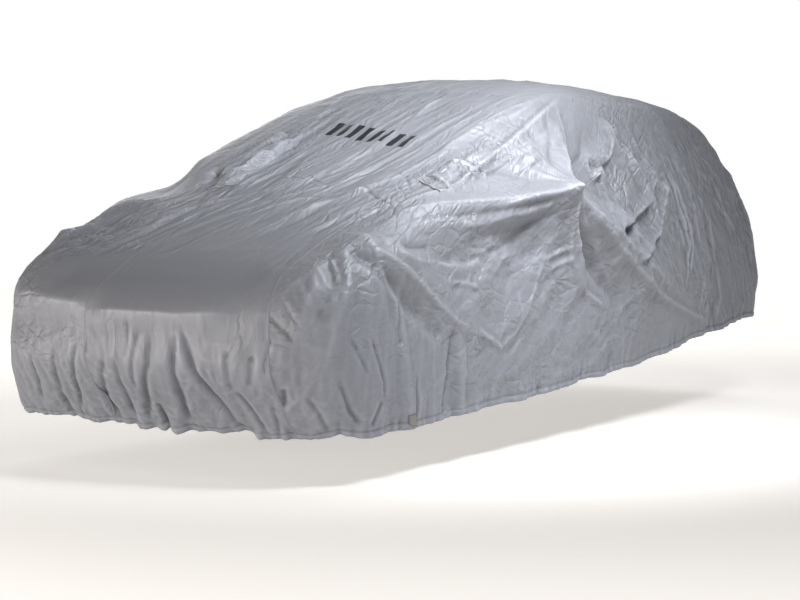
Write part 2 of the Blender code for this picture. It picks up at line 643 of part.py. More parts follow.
def main():
    """Build every piece of the cover."""
    for old in list(bpy.data.objects):
        bpy.data.objects.remove(old, do_unlink=True)

    rest = strip_points(np.array([1 + (ROOF_REST[1] - FRONT_PIVOT) / (REAR_PIVOT - FRONT_PIVOT)]),
                        np.array([ROOF_REST[0]]))
    roof = Cloth(np.repeat(rest[None], 2, axis=0).repeat(2, axis=1))
    underside = roof.points[0, 0] - roof.outward[0, 0] * SHEET
    carrier = bpy.data.objects.new("cover_frame", None)
    carrier.location = -underside
    bpy.context.scene.collection.objects.link(carrier)

    station, along = stations()
    left, right = seam_lines(along)
    share = np.linspace(0, 1, CELLS_ACROSS + 1)
    x = right[:, None] + (left - right)[:, None] * share
    base = strip_points(station[:, None], x)
    centre = Cloth(base)

    sides = (("left", 1, -1, LEFT_POCKET), ("right", -1, 0, RIGHT_POCKET))
    for name, side, edge, pocket in sides:
        seam = centre.points[:, edge].copy()
        move = centre.draw_back(np.s_[:, edge], np.s_[:, edge - side])
        whole = Cloth(side_grid(base[:, edge], side))
        whole.set_seam(seam - move)
        panel = whole.part(0, COLUMNS_SIDE)
        quarter = whole.part(COLUMNS_SIDE, COLUMNS_SIDE + COLUMNS_REAR)
        panel.draw_back(np.s_[-1], np.s_[-2])
        quarter.draw_back(np.s_[0], np.s_[1])
        pouch_cloth = cut_pocket(panel, pocket)
        add_cloth("side_panel_" + name, panel, SILVER, carrier)
        add_cloth("rear_panel_" + name, quarter, SILVER, carrier)
        add_cloth("mirror_pocket_" + name, pouch_cloth, SILVER_POCKET, carrier)
        if name == "left":
            add_patch(panel, carrier)
    add_cloth("centre_panel", centre, SILVER, carrier)


if __name__ == "__main__":
    main()
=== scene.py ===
"""Looks of a fitted car cover in its draped shape: silver-coated cloth with mirror pockets.

Shapes are worked out in a draping frame (floor at Z = 0, nose towards -Y, left side towards +X)
and then moved into the part's frame, whose origin lies under the roof. The cloth starts as a taut
envelope of softly joined faces. Tents, folds, pulls and crumples placed one by one are raised out of it,
and the panels are grids laid over the result. All sizes are in metres unless a comment says otherwise.
"""

import logging
import math
from dataclasses import dataclass, field
from enum import Enum
from typing import NamedTuple, Optional

import bpy
import numpy as np
from mathutils import Matrix, Vector


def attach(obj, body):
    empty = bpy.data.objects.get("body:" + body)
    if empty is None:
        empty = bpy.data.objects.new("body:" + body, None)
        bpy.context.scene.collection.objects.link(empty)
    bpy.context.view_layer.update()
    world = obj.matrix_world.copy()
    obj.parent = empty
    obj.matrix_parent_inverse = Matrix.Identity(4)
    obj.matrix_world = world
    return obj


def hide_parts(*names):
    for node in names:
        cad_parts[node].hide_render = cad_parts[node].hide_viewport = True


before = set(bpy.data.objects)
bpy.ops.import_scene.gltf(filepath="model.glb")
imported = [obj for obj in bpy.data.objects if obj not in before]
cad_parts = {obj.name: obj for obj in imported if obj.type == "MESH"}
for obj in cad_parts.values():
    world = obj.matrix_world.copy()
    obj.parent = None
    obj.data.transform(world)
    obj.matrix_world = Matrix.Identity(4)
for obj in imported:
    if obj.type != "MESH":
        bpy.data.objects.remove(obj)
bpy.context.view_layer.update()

logging.basicConfig(level=logging.INFO, format="%(levelname)s %(name)s: %(message)s")
log = logging.getLogger("car_cover")

Array = np.ndarray
MM = 0.001
MM_PER_M = 1000

# ---------------- frame and main sizes
ORIGIN_IN_DRAPE = np.array([0.0, 0.30, 1.6066])     # where the cover rests under its roof

HEART = np.array([0.0, 0.0, 0.80])    # the envelope's faces are measured from here
SOFTNESS = 20.0           # how tightly neighbouring faces join
PIVOT_HEIGHT = 0.62       # rays that find the cloth start on a level line at this height,
FRONT_PIVOT = -1.35       # from this Y
REAR_PIVOT = 1.25         # to this one
FAN_RADIUS = 0.90         # length round the cover's ends for each radian that a ray turns
CAST_REACH = 3.2          # longer than any ray inside the envelope
CAST_STEPS = 22           # times that a ray's reach is halved
HEM_CASTS = 3             # rounds in which a hem point's height and place settle
GRADIENT_STEP = 1e-4
EXPONENT_LIMIT = 60       # keeps far faces from overflowing
FAR = 9.0                 # further than anything on the cover

ROWS = 16                 # cells of the solids' grid up a side,
COLUMNS_SIDE = 46         # along a side panel,
COLUMNS_REAR = 14         # along a rear panel
CELLS_ACROSS = 11         # and across the centre panel
REFINE = 10               # fine cells to one cell of the solids
REFINE_ACROSS = 8         # the same across the centre panel
STATION_STEPS = 200       # steps to one unit of station when the centre panel is measured
FRONT_DROP = 0.95         # how much of the centre panel lies in front of the side panels' rows
REAR_DROP = 1.00          # and behind them
REAR_SEAM_TOP = 0.95      # Y of the upright rear seam's upper end
REAR_SEAM_HEM = 1.28      # the lower end's place round the cover

# Fine lines of the cell beside the hem, as shares of it; they crowd where the channel is.
HEM_STEPS = (0, .03, .06, .09, .12, .16, .20, .25, .31, .38, .46, .55, .65, .77, .88)


class Side(Enum):
    """Side of the cover; the value is the sign of its X."""

    LEFT = 1
    RIGHT = -1

    @property
    def word(self) -> str:
        """The side in the names of pieces."""
        return self.name.lower()


# ---------------- the taut envelope
class Face(NamedTuple):
    """One face of the taut envelope; a face off the centre line stands on both sides."""

    name: str
    azimuth: float         # degrees from the nose towards the left side
    elevation: float       # degrees
    reach: float           # distance from the heart
    bow_across: float = 0.0    # how much it bends back to the sides
    bow_along: float = 0.0     # and to front and rear,
    bow_from: float = 0.0      # counted from this Y


FACES = (
    Face("roof", 180, 88.5, 0.820, 0.10, 0.030, 0.30),
    Face("screen top", 0, 78, 0.895, 0.06),
    Face("screen", 0, 68, 0.792, 0.04),
    Face("bonnet", 0, 76, 0.872, 0.03),
    Face("nose", 0, 55, 1.377, 0.05),
    Face("brow", 0, 28, 1.998, 0.08),
    Face("brow corner", 45, 30, 1.890),
    Face("apron", 0, 0, 2.300, 0.08),
    Face("chin", 0, -38, 2.010, 0.08),
    Face("front 22", 22, 0, 2.290),
    Face("front 45", 45, 0, 2.115),
    Face("front 68", 68, 0, 1.614),
    Face("wing", 60, 50, 1.178),
    Face("side", 90, 0, 0.888, 0, 0.008),
    Face("door top", 90, 14, 0.853, 0, 0.010),
    Face("window", 90, 28, 0.931, 0, 0.012, 0.30),
    Face("roof rail", 90, 58, 1.025, 0, 0.020, 0.35),
    Face("tail roof", 180, 75, 1.146, 0.08),
    Face("tail glass", 180, 50, 1.538, 0.08),
    Face("tail gate", 180, 24, 1.990, 0.10),
    Face("tail bumper", 180, 3, 2.148, 0.10),
    Face("tail tuck", 180, -24, 2.010, 0.10),
    Face("tail top corner", 135, 35, 1.722),
    Face("rear 22", 158, 4, 2.212),
    Face("rear 45", 135, 4, 2.042),
    Face("rear 68", 112, 4, 1.576),
    Face("rear tuck", 135, -30, 1.910),
)


class HemLevel(NamedTuple):
    """Height of the hem at a place along the cover."""

    along: float
    height: float


HEM = (
    HemLevel(-2.10, 0.165), HemLevel(-1.95, 0.180), HemLevel(-1.45, 0.205),
    HemLevel(-1.00, 0.222), HemLevel(-0.10, 0.262), HemLevel(0.45, 0.300),
    HemLevel(1.05, 0.370), HemLevel(1.60, 0.415), HemLevel(2.10, 0.430),
)


class SeamPlace(NamedTuple):
    """Where the centre panel's two seams lie, at a length along it from the front hem."""

    along: float
    left: float
    right: float


SEAMS = (
    SeamPlace(0.0, 0.590, -0.26), SeamPlace(0.50, 0.580, -0.24), SeamPlace(0.95, 0.560, -0.20),
    SeamPlace(1.90, 0.575, -0.12), SeamPlace(2.60, 0.570, -0.16), SeamPlace(5.80, 0.56, -0.26),
)


def direction(azimuth: float | Array, elevation: float | Array) -> Array:
    """Unit vector for an azimuth from the front and an elevation, both in radians."""
    level = np.cos(elevation)
    return np.stack([np.sin(azimuth) * level, -np.cos(azimuth) * level, np.sin(elevation)], -1)


def unit(vectors: Array) -> Array:
    """Vectors brought to a length of 1."""
    return vectors / np.linalg.norm(vectors, axis=-1, keepdims=True)


def length_along(line: Array) -> Array:
    """Length of a line up to each of its points."""
    return np.concatenate([[0], np.cumsum(np.linalg.norm(np.diff(line, axis=0), axis=-1))])


def hem_height(y: Array) -> Array:
    """Height of the hem above the floor."""
    return np.interp(y, [level.along for level in HEM], [level.height for level in HEM])


class Envelope:
    """The taut cloth: softly joined faces."""

    def __init__(self, faces: tuple = FACES) -> None:
        """Work out each face's outward vector.

        Args:
            faces: rows of the envelope's table.
        """
        self.rows = []
        for face in faces:
            outward = direction(math.radians(face.azimuth), math.radians(face.elevation))
            for side in ((1,) if face.azimuth in (0, 180) else (1, -1)):
                self.rows.append((*(outward * (side, 1, 1)), face.reach, face.bow_across,
                                  face.bow_along, face.bow_from))

    def depth(self, points: Array) -> Array:
        """Signed depth of points.

        Args:
            points: shape (..., 3).

        Returns:
            Below 0 inside, 0 on the taut cloth and above 0 outside.
        """
        x, y, z = (points[..., k] - HEART[k] for k in range(3))
        x2 = points[..., 0] ** 2
        total = np.zeros(points.shape[:-1])
        for nx, ny, nz, reach, across, along, start in self.rows:
            depth = nx * x + ny * y + nz * z - reach
            if across:
                depth += across * x2
            if along:
                depth += along * (points[..., 1] - start) ** 2
            total += np.exp(np.clip(SOFTNESS * depth, -EXPONENT_LIMIT, EXPONENT_LIMIT))
        return np.log(total) / SOFTNESS

    def outward(self, points: Array) -> Array:
        """Unit vectors that point out of the envelope at points on it."""
        steps = np.eye(3) * GRADIENT_STEP
        return unit(np.stack([self.depth(points + s) - self.depth(points - s) for s in steps], -1))

    def cast(self, origins: Array, rays: Array) -> Array:
        """Points where rays leave the envelope.

        Args:
            origins: where the rays start, inside it.
            rays: their unit vectors.

        Returns:
            One point to a ray.
        """
        near = np.zeros(origins.shape[:-1])
        far = np.full(origins.shape[:-1], CAST_REACH)
        for _ in range(CAST_STEPS):
            middle = (near + far) / 2
            inside = self.depth(origins + middle[..., None] * rays) < 0
            near = np.where(inside, middle, near)
            far = np.where(inside, far, middle)
        return origins + ((near + far) / 2)[..., None] * rays


ENVELOPE = Envelope()


# ---------------- noise
HASH_STEPS = (374761393, 668265263, 2147483647)      # large odd numbers that scatter the cells
HASH_SEED_STEP = 1442695041
HASH_ROUNDS = ((13, 1274126177), (16, 2246822519))   # shift and factor
HASH_MASK = 0xFFFFFFFF
FACET_JITTER = 0.45       # how far a facet's middle strays in its cell, of the cell's size
FACET_SEED_STEP = 7       # between the random numbers for X, Y and Z
REGION_EDGE = 1.15        # where a region ends, of its half-sizes,
REGION_BORDER = 0.5       # and over how much of them it fades in


def hash_noise(cells: Array, seed: int) -> Array:
    """Repeatable random number for every whole-numbered cell.

    Args:
        cells: shape (..., 3).
        seed: picks one set of numbers.

    Returns:
        Numbers from -1 to 1.
    """
    mixed = sum(cells[..., n].astype(np.int64) * HASH_STEPS[n] for n in range(3)) + seed * HASH_SEED_STEP
    for shift, factor in HASH_ROUNDS:
        mixed = mixed & HASH_MASK
        mixed = (mixed ^ (mixed >> shift)) * factor
    mixed = mixed & HASH_MASK
    return ((mixed ^ (mixed >> 15)) & 0xFFFF) / 32767.5 - 1.0     # the low 16 bits, brought to -1 to 1


def smooth_noise(points: Array, seed: int) -> Array:
    """Smooth noise with one feature to a unit of length.

    Args:
        points: shape (..., 3).
        seed: picks one pattern.

    Returns:
        Numbers from -1 to 1.
    """
    floor = np.floor(points)
    part = points - floor
    part = part ** 3 * (part * (part * 6 - 15) + 10)      # from 0 to 1 without a kink at either end
    total = np.zeros(points.shape[:-1])
    for corner in np.ndindex(2, 2, 2):
        weight = np.ones(points.shape[:-1])
        for axis, step in enumerate(corner):
            weight = weight * (part[..., axis] if step else 1 - part[..., axis])
        total += weight * hash_noise(floor + corner, seed)
    return total


def facet_noise(points: Array, seed: int) -> Array:
    """Flat-sided hollows with sharp crests between them, one to a unit of length.

    Args:
        points: shape (..., 3).
        seed: picks one pattern.

    Returns:
        Numbers from about -0.5 to 0.5.
    """
    floor = np.floor(points)
    nearest = np.full(points.shape[:-1], FAR)
    for step in np.ndindex(3, 3, 3):
        cell = floor + np.array(step) - 1
        strays = [hash_noise(cell, seed + FACET_SEED_STEP * axis) for axis in range(3)]
        middle = cell + 0.5 + FACET_JITTER * np.stack(strays, -1)
        nearest = np.minimum(nearest, ((points - middle) ** 2).sum(-1))
    return np.sqrt(nearest) - 0.5


def region_share(points: Array, centre: tuple, reach: tuple) -> Array:
    """How far points belong to a region with a soft border.

    Args:
        points: shape (..., 3).
        centre: of the region.
        reach: its half-sizes.

    Returns:
        1 in the middle of the region and 0 outside it.
    """
    away = np.sqrt((((points - centre) / reach) ** 2).sum(-1))
    share = np.clip((REGION_EDGE - away) / REGION_BORDER, 0, 1)
    return share ** 2 * (3 - 2 * share)


# ---------------- tents
LINE_SAG = 0.12           # how far above or below the envelope a line's points may lie
RAY_ROOT = 0.12           # a ray's spread at the tent's tip
CREST_ROUND = 0.008       # how round the ridge of a ray is
RIDGE_FALL = 1.15         # how fast a ridge sinks towards its end; 1 is a straight slope
RIDGE_POINT = 1.25        # how pointed its cross-section is
TIP_POINT = 9             # how pointed the tip is
TENT_BLEND = 6            # how sharply ridges and tip meet
TENT_SIDE = 0.05          # how far past the centre line a tent still holds the cloth


def along_line(points: Array, outward: Array, start: Array, end: Array) -> tuple[Array, Array]:
    """Where points lie beside a straight line.

    Args:
        points: on the envelope.
        outward: the way out of it at each point.
        start: of the line.
        end: of the line.

    Returns:
        Share of the way from start to end, and the distance off the line within the cloth.
    """
    line = end - start
    share = np.clip((points - start) @ line / (line @ line), 0, 1)
    off = points - (start + share[..., None] * line)
    above = np.clip((off * outward).sum(-1, keepdims=True), -LINE_SAG, LINE_SAG)
    return share, np.linalg.norm(off - above * outward, axis=-1)


class Ray(NamedTuple):
    """A taut ridge that runs from a tent's tip to a point on the envelope."""

    end: tuple
    spread: float


class Tent(NamedTuple):
    """Cloth held away from the envelope by something under it."""

    name: str
    foot: tuple
    height: float
    radius: float
    rays: tuple

    def holds(self, points: Array) -> Array:
        """Mask of the points on the tent's side of the cover."""
        return points[..., 0] * self.foot[0] > -TENT_SIDE

    def relief(self, points: Array, outward: Array) -> Array:
        """How far the tent holds the cloth out.

        Args:
            points: on the envelope.
            outward: the way out of it at each point.

        Returns:
            One height to a point.
        """
        foot = np.array(self.foot)
        away = np.linalg.norm(points - foot, axis=-1)
        total = np.clip(1 - away / self.radius, 0, 1) ** TIP_POINT
        for ray in self.rays:
            share, gap = along_line(points, outward, foot, np.array(ray.end))
            gap = np.hypot(gap, CREST_ROUND) - CREST_ROUND
            spread = RAY_ROOT + (ray.spread - RAY_ROOT) * np.sqrt(share)
            crest = (1 - share) ** RIDGE_FALL * np.clip(1 - gap / spread, 0, 1) ** RIDGE_POINT
            total = total + crest ** TENT_BLEND
        return self.height * total ** (1 / TENT_BLEND)


TENTS = (
    Tent("left door mirror", (0.79, -0.49, 1.07), 0.170, 0.34, (
        Ray((0.87, 1.15, 0.44), 0.26), Ray((0.76, -1.70, 0.93), 0.14),
        Ray((0.66, -0.13, 1.46), 0.24), Ray((0.87, -0.20, 0.60), 0.18))),
    Tent("right door mirror", (-0.79, -0.50, 1.08), 0.185, 0.34, (
        Ray((-0.87, 1.10, 0.46), 0.26), Ray((-0.70, -1.70, 0.93), 0.13),
        Ray((-0.64, -0.20, 1.47), 0.16), Ray((-0.88, -0.55, 0.50), 0.20))),
    Tent("left wing", (0.73, -1.78, 0.90), 0.045, 0.22, (
        Ray((0.87, -0.97, 0.46), 0.20), Ray((0.56, -2.19, 0.67), 0.14), Ray((0.84, -1.87, 0.52), 0.14))),
    Tent("right wing", (-0.72, -1.82, 0.88), 0.040, 0.22, (
        Ray((-0.87, -1.02, 0.42), 0.20), Ray((-0.54, -2.20, 0.66), 0.16),
        Ray((-0.80, -1.98, 0.50), 0.16))),
)


# ---------------- folds
CREASE_ROUND = 0.003      # how round a sharp crease is
CREASE_POINT = 1.7        # how pointed its cross-section is
STEEP_SHARE = 0.24        # of an edge's width, on its steep side
END_FADE = 0.15           # share of a crease's length over which it fades
END_LEFT = 0.08           # share of its height that is left at its very ends
WANDER = 0.25             # how unevenly high a crease is,
WANDERS = 9.0             # with so many changes to a metre
WANDER_SEED = 77


class Crest(Enum):
    """Cross-section of a fold."""

    SHARP = "sharp"      # a creased crest or a pinched trough
    ROUND = "round"      # a soft roll
    EDGE = "edge"        # soft on the left of its line and steep on the right


class Fold(NamedTuple):
    """A ridge (height above 0) or a trough (below 0) along a line of points on the envelope."""

    name: str
    line: tuple          # points X, Y, Z
    width: tuple         # half-width at the start and at the end, millimetres
    height: tuple        # at the start and at the end, millimetres
    crest: Crest = Crest.SHARP

    def near(self, points: Array) -> Array:
        """Mask of the points that the fold can reach.

        Args:
            points: on the envelope.

        Returns:
            True inside a box round the fold's line.
        """
        line = np.array(self.line)
        room = max(self.width) / MM_PER_M + LINE_SAG
        low, high = line.min(axis=0) - room, line.max(axis=0) + room
        return ((points > low) & (points < high)).all(axis=-1)

    def relief(self, points: Array, outward: Array) -> Array:
        """Height of the fold.

        Args:
            points: on the envelope.
            outward: the way out of it at each point.

        Returns:
            One height to a point.
        """
        line = np.array(self.line)
        starts = length_along(line)
        starts = starts / starts[-1]
        nearest = np.full(points.shape[:-1], FAR)
        place = np.zeros(points.shape[:-1])
        left = np.ones(points.shape[:-1], bool)
        for k in range(len(line) - 1):
            share, gap = along_line(points, outward, line[k], line[k + 1])
            closer = gap < nearest
            place = np.where(closer, starts[k] + share * (starts[k + 1] - starts[k]), place)
            if self.crest is Crest.EDGE:
                across = np.cross(outward, line[k + 1] - line[k])
                left = np.where(closer, ((points - line[k]) * across).sum(-1) > 0, left)
            nearest = np.where(closer, gap, nearest)
        width, height = (start + (end - start) * place
                         for start, end in np.array((self.width, self.height)) / MM_PER_M)
        if self.crest is Crest.ROUND:
            return height * np.sin(np.clip(1 - nearest / width, 0, 1) * math.pi / 2) ** 2
        if self.crest is Crest.EDGE:
            width = np.where(left, width, STEEP_SHARE * width)
        ends = np.clip(np.minimum(place, 1 - place) / END_FADE, 0, 1)
        wander = 1 + WANDER * smooth_noise(points * WANDERS, WANDER_SEED)
        nearness = np.clip(1 - (np.hypot(nearest, CREASE_ROUND) - CREASE_ROUND) / width, 0, 1)
        return height * wander * (END_LEFT + (1 - END_LEFT) * ends) * nearness ** CREASE_POINT


ROUND, EDGE = Crest.ROUND, Crest.EDGE

BIG_FOLDS = (
    Fold("bonnet edge, right", ((-.68, -2.14, .68), (-.44, -2.22, .665), (-.24, -2.26, .66)), (90, 100),
         (16, 18)),
    Fold("bonnet edge, left", ((-.2, -2.27, .64), (.2, -2.27, .64), (.46, -2.23, .65)), (100, 100),
         (20, 12)),
    Fold("under the edge, right", ((-.72, -2.1, .56), (-.24, -2.27, .54)), (100, 90), (-10, -8), ROUND),
    Fold("under the edge, left", ((-.19, -2.27, .53), (.36, -2.25, .54)), (90, 90), (-8, -6), ROUND),
    Fold("bonnet hollow", ((-.4, -2.14, .77), (.4, -2.12, .77)), (140, 140), (-14, -14), ROUND),
    Fold("bumper roll", ((-.6, -2.2, .44), (.55, -2.21, .43)), (160, 160), (18, 18), ROUND),
    Fold("screen foot, right", ((-.74, -1.14, 1.08), (-.3, -1.5, 1.04)), (260, 200), (-50, -10), ROUND),
    Fold("roof bow", ((-.5, -.05, 1.55), (.3, .35, 1.61)), (140, 140), (6, 8), ROUND),
    Fold("front hem ridge", ((.82, -1.72, .78), (.87, -1.66, .22)), (50, 70), (10, 16), ROUND),
    Fold("front hem trough", ((.86, -1.34, .58), (.87, -1.35, .42), (.88, -1.37, .21)), (40, 70),
         (-10, -40)),
    Fold("front hem roll", ((.87, -1.29, .54), (.88, -1.27, .24)), (50, 60), (4, 34), ROUND),
    Fold("door sweep", ((.88, -1.25, .25), (.88, -.48, .54)), (140, 160), (-20, -10), ROUND),
    Fold("door sweep crest", ((.87, -1.12, .27), (.87, -.86, .38), (.87, -.5, .5)), (100, 120), (14, 10),
         ROUND),
    Fold("door hollow", ((.84, -.62, .88), (.87, -1.02, .62)), (180, 160), (-20, -12), ROUND),
    Fold("mirror trough", ((.83, -.28, .88), (.85, -.05, .72), (.87, .1, .62)), (60, 90), (-34, -16),
         ROUND),
    Fold("rear billow", ((.75, .48, 1.2), (.8, .18, 1.0)), (120, 120), (20, 18), ROUND),
    Fold("rear billow, hind", ((.78, .78, 1.06), (.83, .62, .86)), (100, 100), (14, 10), ROUND),
    Fold("tail trough 1", ((.35, 2.14, .95), (.3, 2.08, .45)), (60, 90), (-8, -26), ROUND),
    Fold("tail trough 2", ((-.1, 2.18, 1.0), (-.06, 2.12, .45)), (60, 90), (-8, -26), ROUND),
    Fold("tail trough 3", ((-.52, 2.1, .9), (-.55, 2.02, .45)), (60, 90), (-8, -24), ROUND),
    Fold("tail ridge", ((.12, 2.17, .9), (.12, 2.1, .45)), (60, 90), (6, 18), ROUND),
    Fold("right hem trough", ((-.86, -1.36, .56), (-.88, -1.38, .22)), (70, 100), (-26, -30)),
    Fold("right hem roll", ((-.87, -1.22, .52), (-.88, -1.22, .24)), (60, 80), (16, 28), ROUND),
    Fold("right wing roll", ((-.76, -2.0, .7), (-.8, -1.98, .22)), (70, 90), (10, 22), ROUND),
    Fold("right door sweep", ((-.88, -.95, .26), (-.88, -.25, .56)), (140, 160), (-20, -10), ROUND),
    Fold("right door hollow", ((-.83, .02, .92), (-.87, .34, .62)), (140, 160), (-24, -12), ROUND),
    Fold("right rear crease", ((-.74, .66, 1.22), (-.82, .4, .92)), (60, 80), (-18, -24)),
    Fold("right rear billow", ((-.78, .95, 1.08), (-.84, .8, .8)), (100, 120), (18, 14), ROUND),
)

MIRROR_FOLDS = (
    Fold("upper ridge", ((.8, -.52, 1.08), (.79, -.86, 1.05), (.78, -1.22, 1.04), (.72, -1.51, 1.01),
          (.71, -1.74, .93)), (50, 50), (20, 10)),
    Fold("under the upper ridge", ((.8, -.55, 1.045), (.8, -.85, 1.015), (.79, -1.24, .99),
          (.75, -1.5, .97)), (28, 35), (-16, -8)),
    Fold("lower ridge", ((.8, -.52, 1.03), (.8, -.77, .99), (.8, -.97, .97), (.8, -1.34, .93)), (40, 50),
         (22, 8)),
    Fold("under the lower ridge", ((.81, -.54, .99), (.81, -.7, .945), (.81, -.96, .92),
          (.81, -1.22, .9)), (50, 60), (-13, -8)),
    Fold("roof ridge", ((.77, -.45, 1.14), (.71, -.19, 1.33), (.67, -.11, 1.43), (.62, -.05, 1.5)),
         (50, 50), (16, 6)),
    Fold("beside the roof ridge", ((.77, -.52, 1.16), (.71, -.33, 1.34), (.66, -.24, 1.45)), (40, 50),
         (-12, -6)),
    Fold("second roof ridge", ((.76, -.62, 1.19), (.69, -.46, 1.38)), (50, 50), (8, 5)),
    Fold("behind the roof ridge", ((.78, -.36, 1.12), (.75, -.02, 1.26), (.7, .08, 1.38)), (60, 60),
         (-14, -8)),
    Fold("diagonal", ((.8, -.47, 1.04), (.83, -.15, .91), (.84, .01, .83), (.86, .31, .69),
          (.87, .58, .58), (.87, .88, .5), (.87, 1.25, .42)), (45, 35), (20, 10)),
    Fold("curved ridge", ((.81, -.42, 1.0), (.83, -.21, .88), (.85, -.03, .74), (.86, .08, .65)),
         (35, 30), (14, 8)),
    Fold("crescent", ((.86, -.26, .68), (.87, -.13, .62), (.87, -.03, .58)), (30, 30), (12, 12)),
    Fold("upright below", ((.81, -.46, 1.0), (.85, -.4, .8), (.86, -.28, .68)), (40, 60), (10, 8)),
)

REAR_FOLDS = (
    Fold("first lobe", ((.78, .02, 1.14), (.77, .09, 1.18), (.74, .24, 1.26), (.72, .32, 1.33),
          (.67, .33, 1.44)), (140, 140), (58, 30), EDGE),
    Fold("first cavity", ((.75, .02, 1.2), (.76, .19, 1.2)), (50, 50), (-34, -30)),
    Fold("second lobe", ((.83, .08, .91), (.82, .27, .95), (.8, .52, 1.03), (.78, .64, 1.12),
          (.75, .77, 1.23)), (150, 150), (60, 34), EDGE),
    Fold("second lobe, inner", ((.79, .58, 1.08), (.75, .48, 1.23), (.72, .44, 1.32)), (80, 80),
         (20, 20), EDGE),
    Fold("second cavity", ((.83, .1, .9), (.83, .36, .92)), (50, 50), (-36, -32)),
    Fold("third lobe", ((.85, .19, .76), (.85, .32, .79), (.83, .57, .88), (.81, .69, .99),
          (.77, .8, 1.13), (.74, .79, 1.24)), (100, 100), (40, 24), EDGE),
    Fold("pucker 1", ((.74, .84, 1.25), (.78, .91, 1.12), (.81, .95, .94), (.84, .97, .8),
          (.86, .87, .62)), (18, 18), (14, 12)),
    Fold("pucker 2", ((.74, .88, 1.25), (.78, .95, 1.12), (.81, .99, .94), (.84, 1.01, .8),
          (.86, .93, .62)), (18, 18), (14, 10)),
    Fold("rear seam", ((.77, 1.12, 1.13), (.81, 1.26, .93), (.84, 1.28, .73), (.86, 1.31, .56),
          (.86, 1.28, .43)), (30, 30), (10, 14)),
    Fold("behind the seam", ((.78, 1.39, 1.06), (.81, 1.57, .89), (.83, 1.66, .73)), (35, 30), (12, 8)),
    Fold("tail corner", ((.73, 1.73, 1.14), (.81, 1.75, .83), (.8, 1.8, .6)), (30, 40), (-10, -12)),
    Fold("tail corner ridge", ((.7, 1.8, 1.1), (.78, 1.84, .8), (.76, 1.88, .55)), (30, 50), (8, 14)),
    Fold("over the rear hem", ((.87, 1.05, .52), (.86, 1.12, .7)), (30, 30), (12, 6)),
    Fold("over the rear hem 2", ((.87, 1.12, .5), (.85, 1.22, .66)), (30, 30), (-12, -6)),
)

WING_FOLDS = (
    Fold("main ridge", ((.74, -1.82, .87), (.8, -1.72, .82), (.84, -1.53, .71), (.86, -1.32, .58),
          (.86, -1.16, .53)), (55, 60), (30, 14)),
    Fold("below the ridge", ((.75, -1.86, .84), (.81, -1.79, .78), (.84, -1.62, .66), (.85, -1.46, .56)),
         (50, 60), (-22, -16), ROUND),
    Fold("upright ridge", ((.72, -1.87, .86), (.75, -1.94, .81), (.79, -1.99, .74), (.79, -2.07, .6),
          (.76, -2.1, .44)), (70, 70), (12, 8)),
    Fold("dark facet", ((.7, -1.95, .82), (.74, -2.03, .75), (.74, -2.09, .66)), (60, 60), (-12, -12),
         ROUND),
    Fold("bonnet side edge", ((.73, -1.84, .87), (.69, -1.97, .82), (.66, -2.07, .77), (.6, -2.16, .71)),
         (40, 50), (5, 5)),
    Fold("crease 1", ((.58, -2.19, .64), (.67, -2.17, .56)), (13, 13), (-7, -6)),
    Fold("crease 2", ((.59, -2.2, .56), (.56, -2.18, .43)), (13, 13), (-7, -6)),
    Fold("crease 3", ((.69, -2.11, .35), (.72, -2.07, .28), (.72, -2.01, .19)), (14, 19), (-7, -11)),
    Fold("crease 4", ((.75, -2.09, .68), (.73, -2.13, .6)), (14, 14), (-3, -2)),
    Fold("crease 5", ((.83, -1.9, .57), (.85, -1.82, .39), (.85, -1.82, .32)), (14, 15), (-7, -7)),
    Fold("crease 6", ((.86, -1.6, .4), (.86, -1.59, .23)), (14, 19), (-5, -12)),
    Fold("crease 7", ((.8, -2.06, .41), (.82, -2.0, .29), (.83, -1.94, .23)), (14, 19), (-6, -11)),
    Fold("crease 8", ((.85, -1.83, .32), (.84, -1.9, .22)), (14, 19), (-6, -10)),
    Fold("crease 9", ((.82, -2.0, .56), (.84, -1.92, .42)), (13, 13), (-7, -5)),
    Fold("crease 10", ((.55, -2.13, .32), (.53, -2.05, .2)), (14, 19), (-6, -11)),
    Fold("soft upright 1", ((.79, -1.81, .82), (.82, -1.76, .73), (.84, -1.72, .58)), (30, 40), (16, 10)),
    Fold("soft upright 2", ((.83, -1.71, .69), (.85, -1.71, .5)), (35, 40), (-13, -12)),
    Fold("zigzag 1", ((.69, -1.95, .83), (.76, -2.01, .76)), (16, 16), (5, 5)),
    Fold("zigzag 2", ((.68, -2.02, .8), (.74, -2.05, .76)), (16, 16), (5, 5)),
    Fold("zigzag 3", ((.66, -2.1, .74), (.72, -2.12, .68)), (16, 16), (5, 5)),
    Fold("zigzag 4", ((.63, -2.15, .7), (.68, -2.15, .64)), (16, 16), (5, 5)),
)

DOOR_FOLDS = (
    Fold("crumple line", ((.84, -1.33, .74), (.85, -1.22, .735), (.85, -1.11, .71)), (20, 20), (10, 8)),
    Fold("bright tip", ((.86, -1.16, .55), (.87, -.97, .46), (.87, -.86, .51)), (30, 30), (12, 10)),
    Fold("short crease 1", ((.84, -.59, .8), (.84, -.46, .83), (.84, -.39, .85)), (25, 20), (10, 8)),
    Fold("short crease 2", ((.84, -.52, .76), (.84, -.38, .8)), (20, 20), (8, 8)),
    Fold("door facet edge", ((.87, -.93, .44), (.86, -.72, .62), (.84, -.6, .76), (.82, -.52, .92)),
         (200, 160), (13, 10), EDGE),
    Fold("long dip", ((.82, -.74, .9), (.83, -1.16, .82), (.82, -1.4, .83)), (40, 40), (-12, -10)),
    Fold("wing tail", ((.79, -1.74, .87), (.82, -1.57, .83), (.83, -1.31, .81), (.83, -1.15, .79)),
         (40, 40), (14, 6)),
    Fold("wing tail dip", ((.8, -1.66, .88), (.81, -1.45, .88)), (30, 30), (-12, -6)),
)

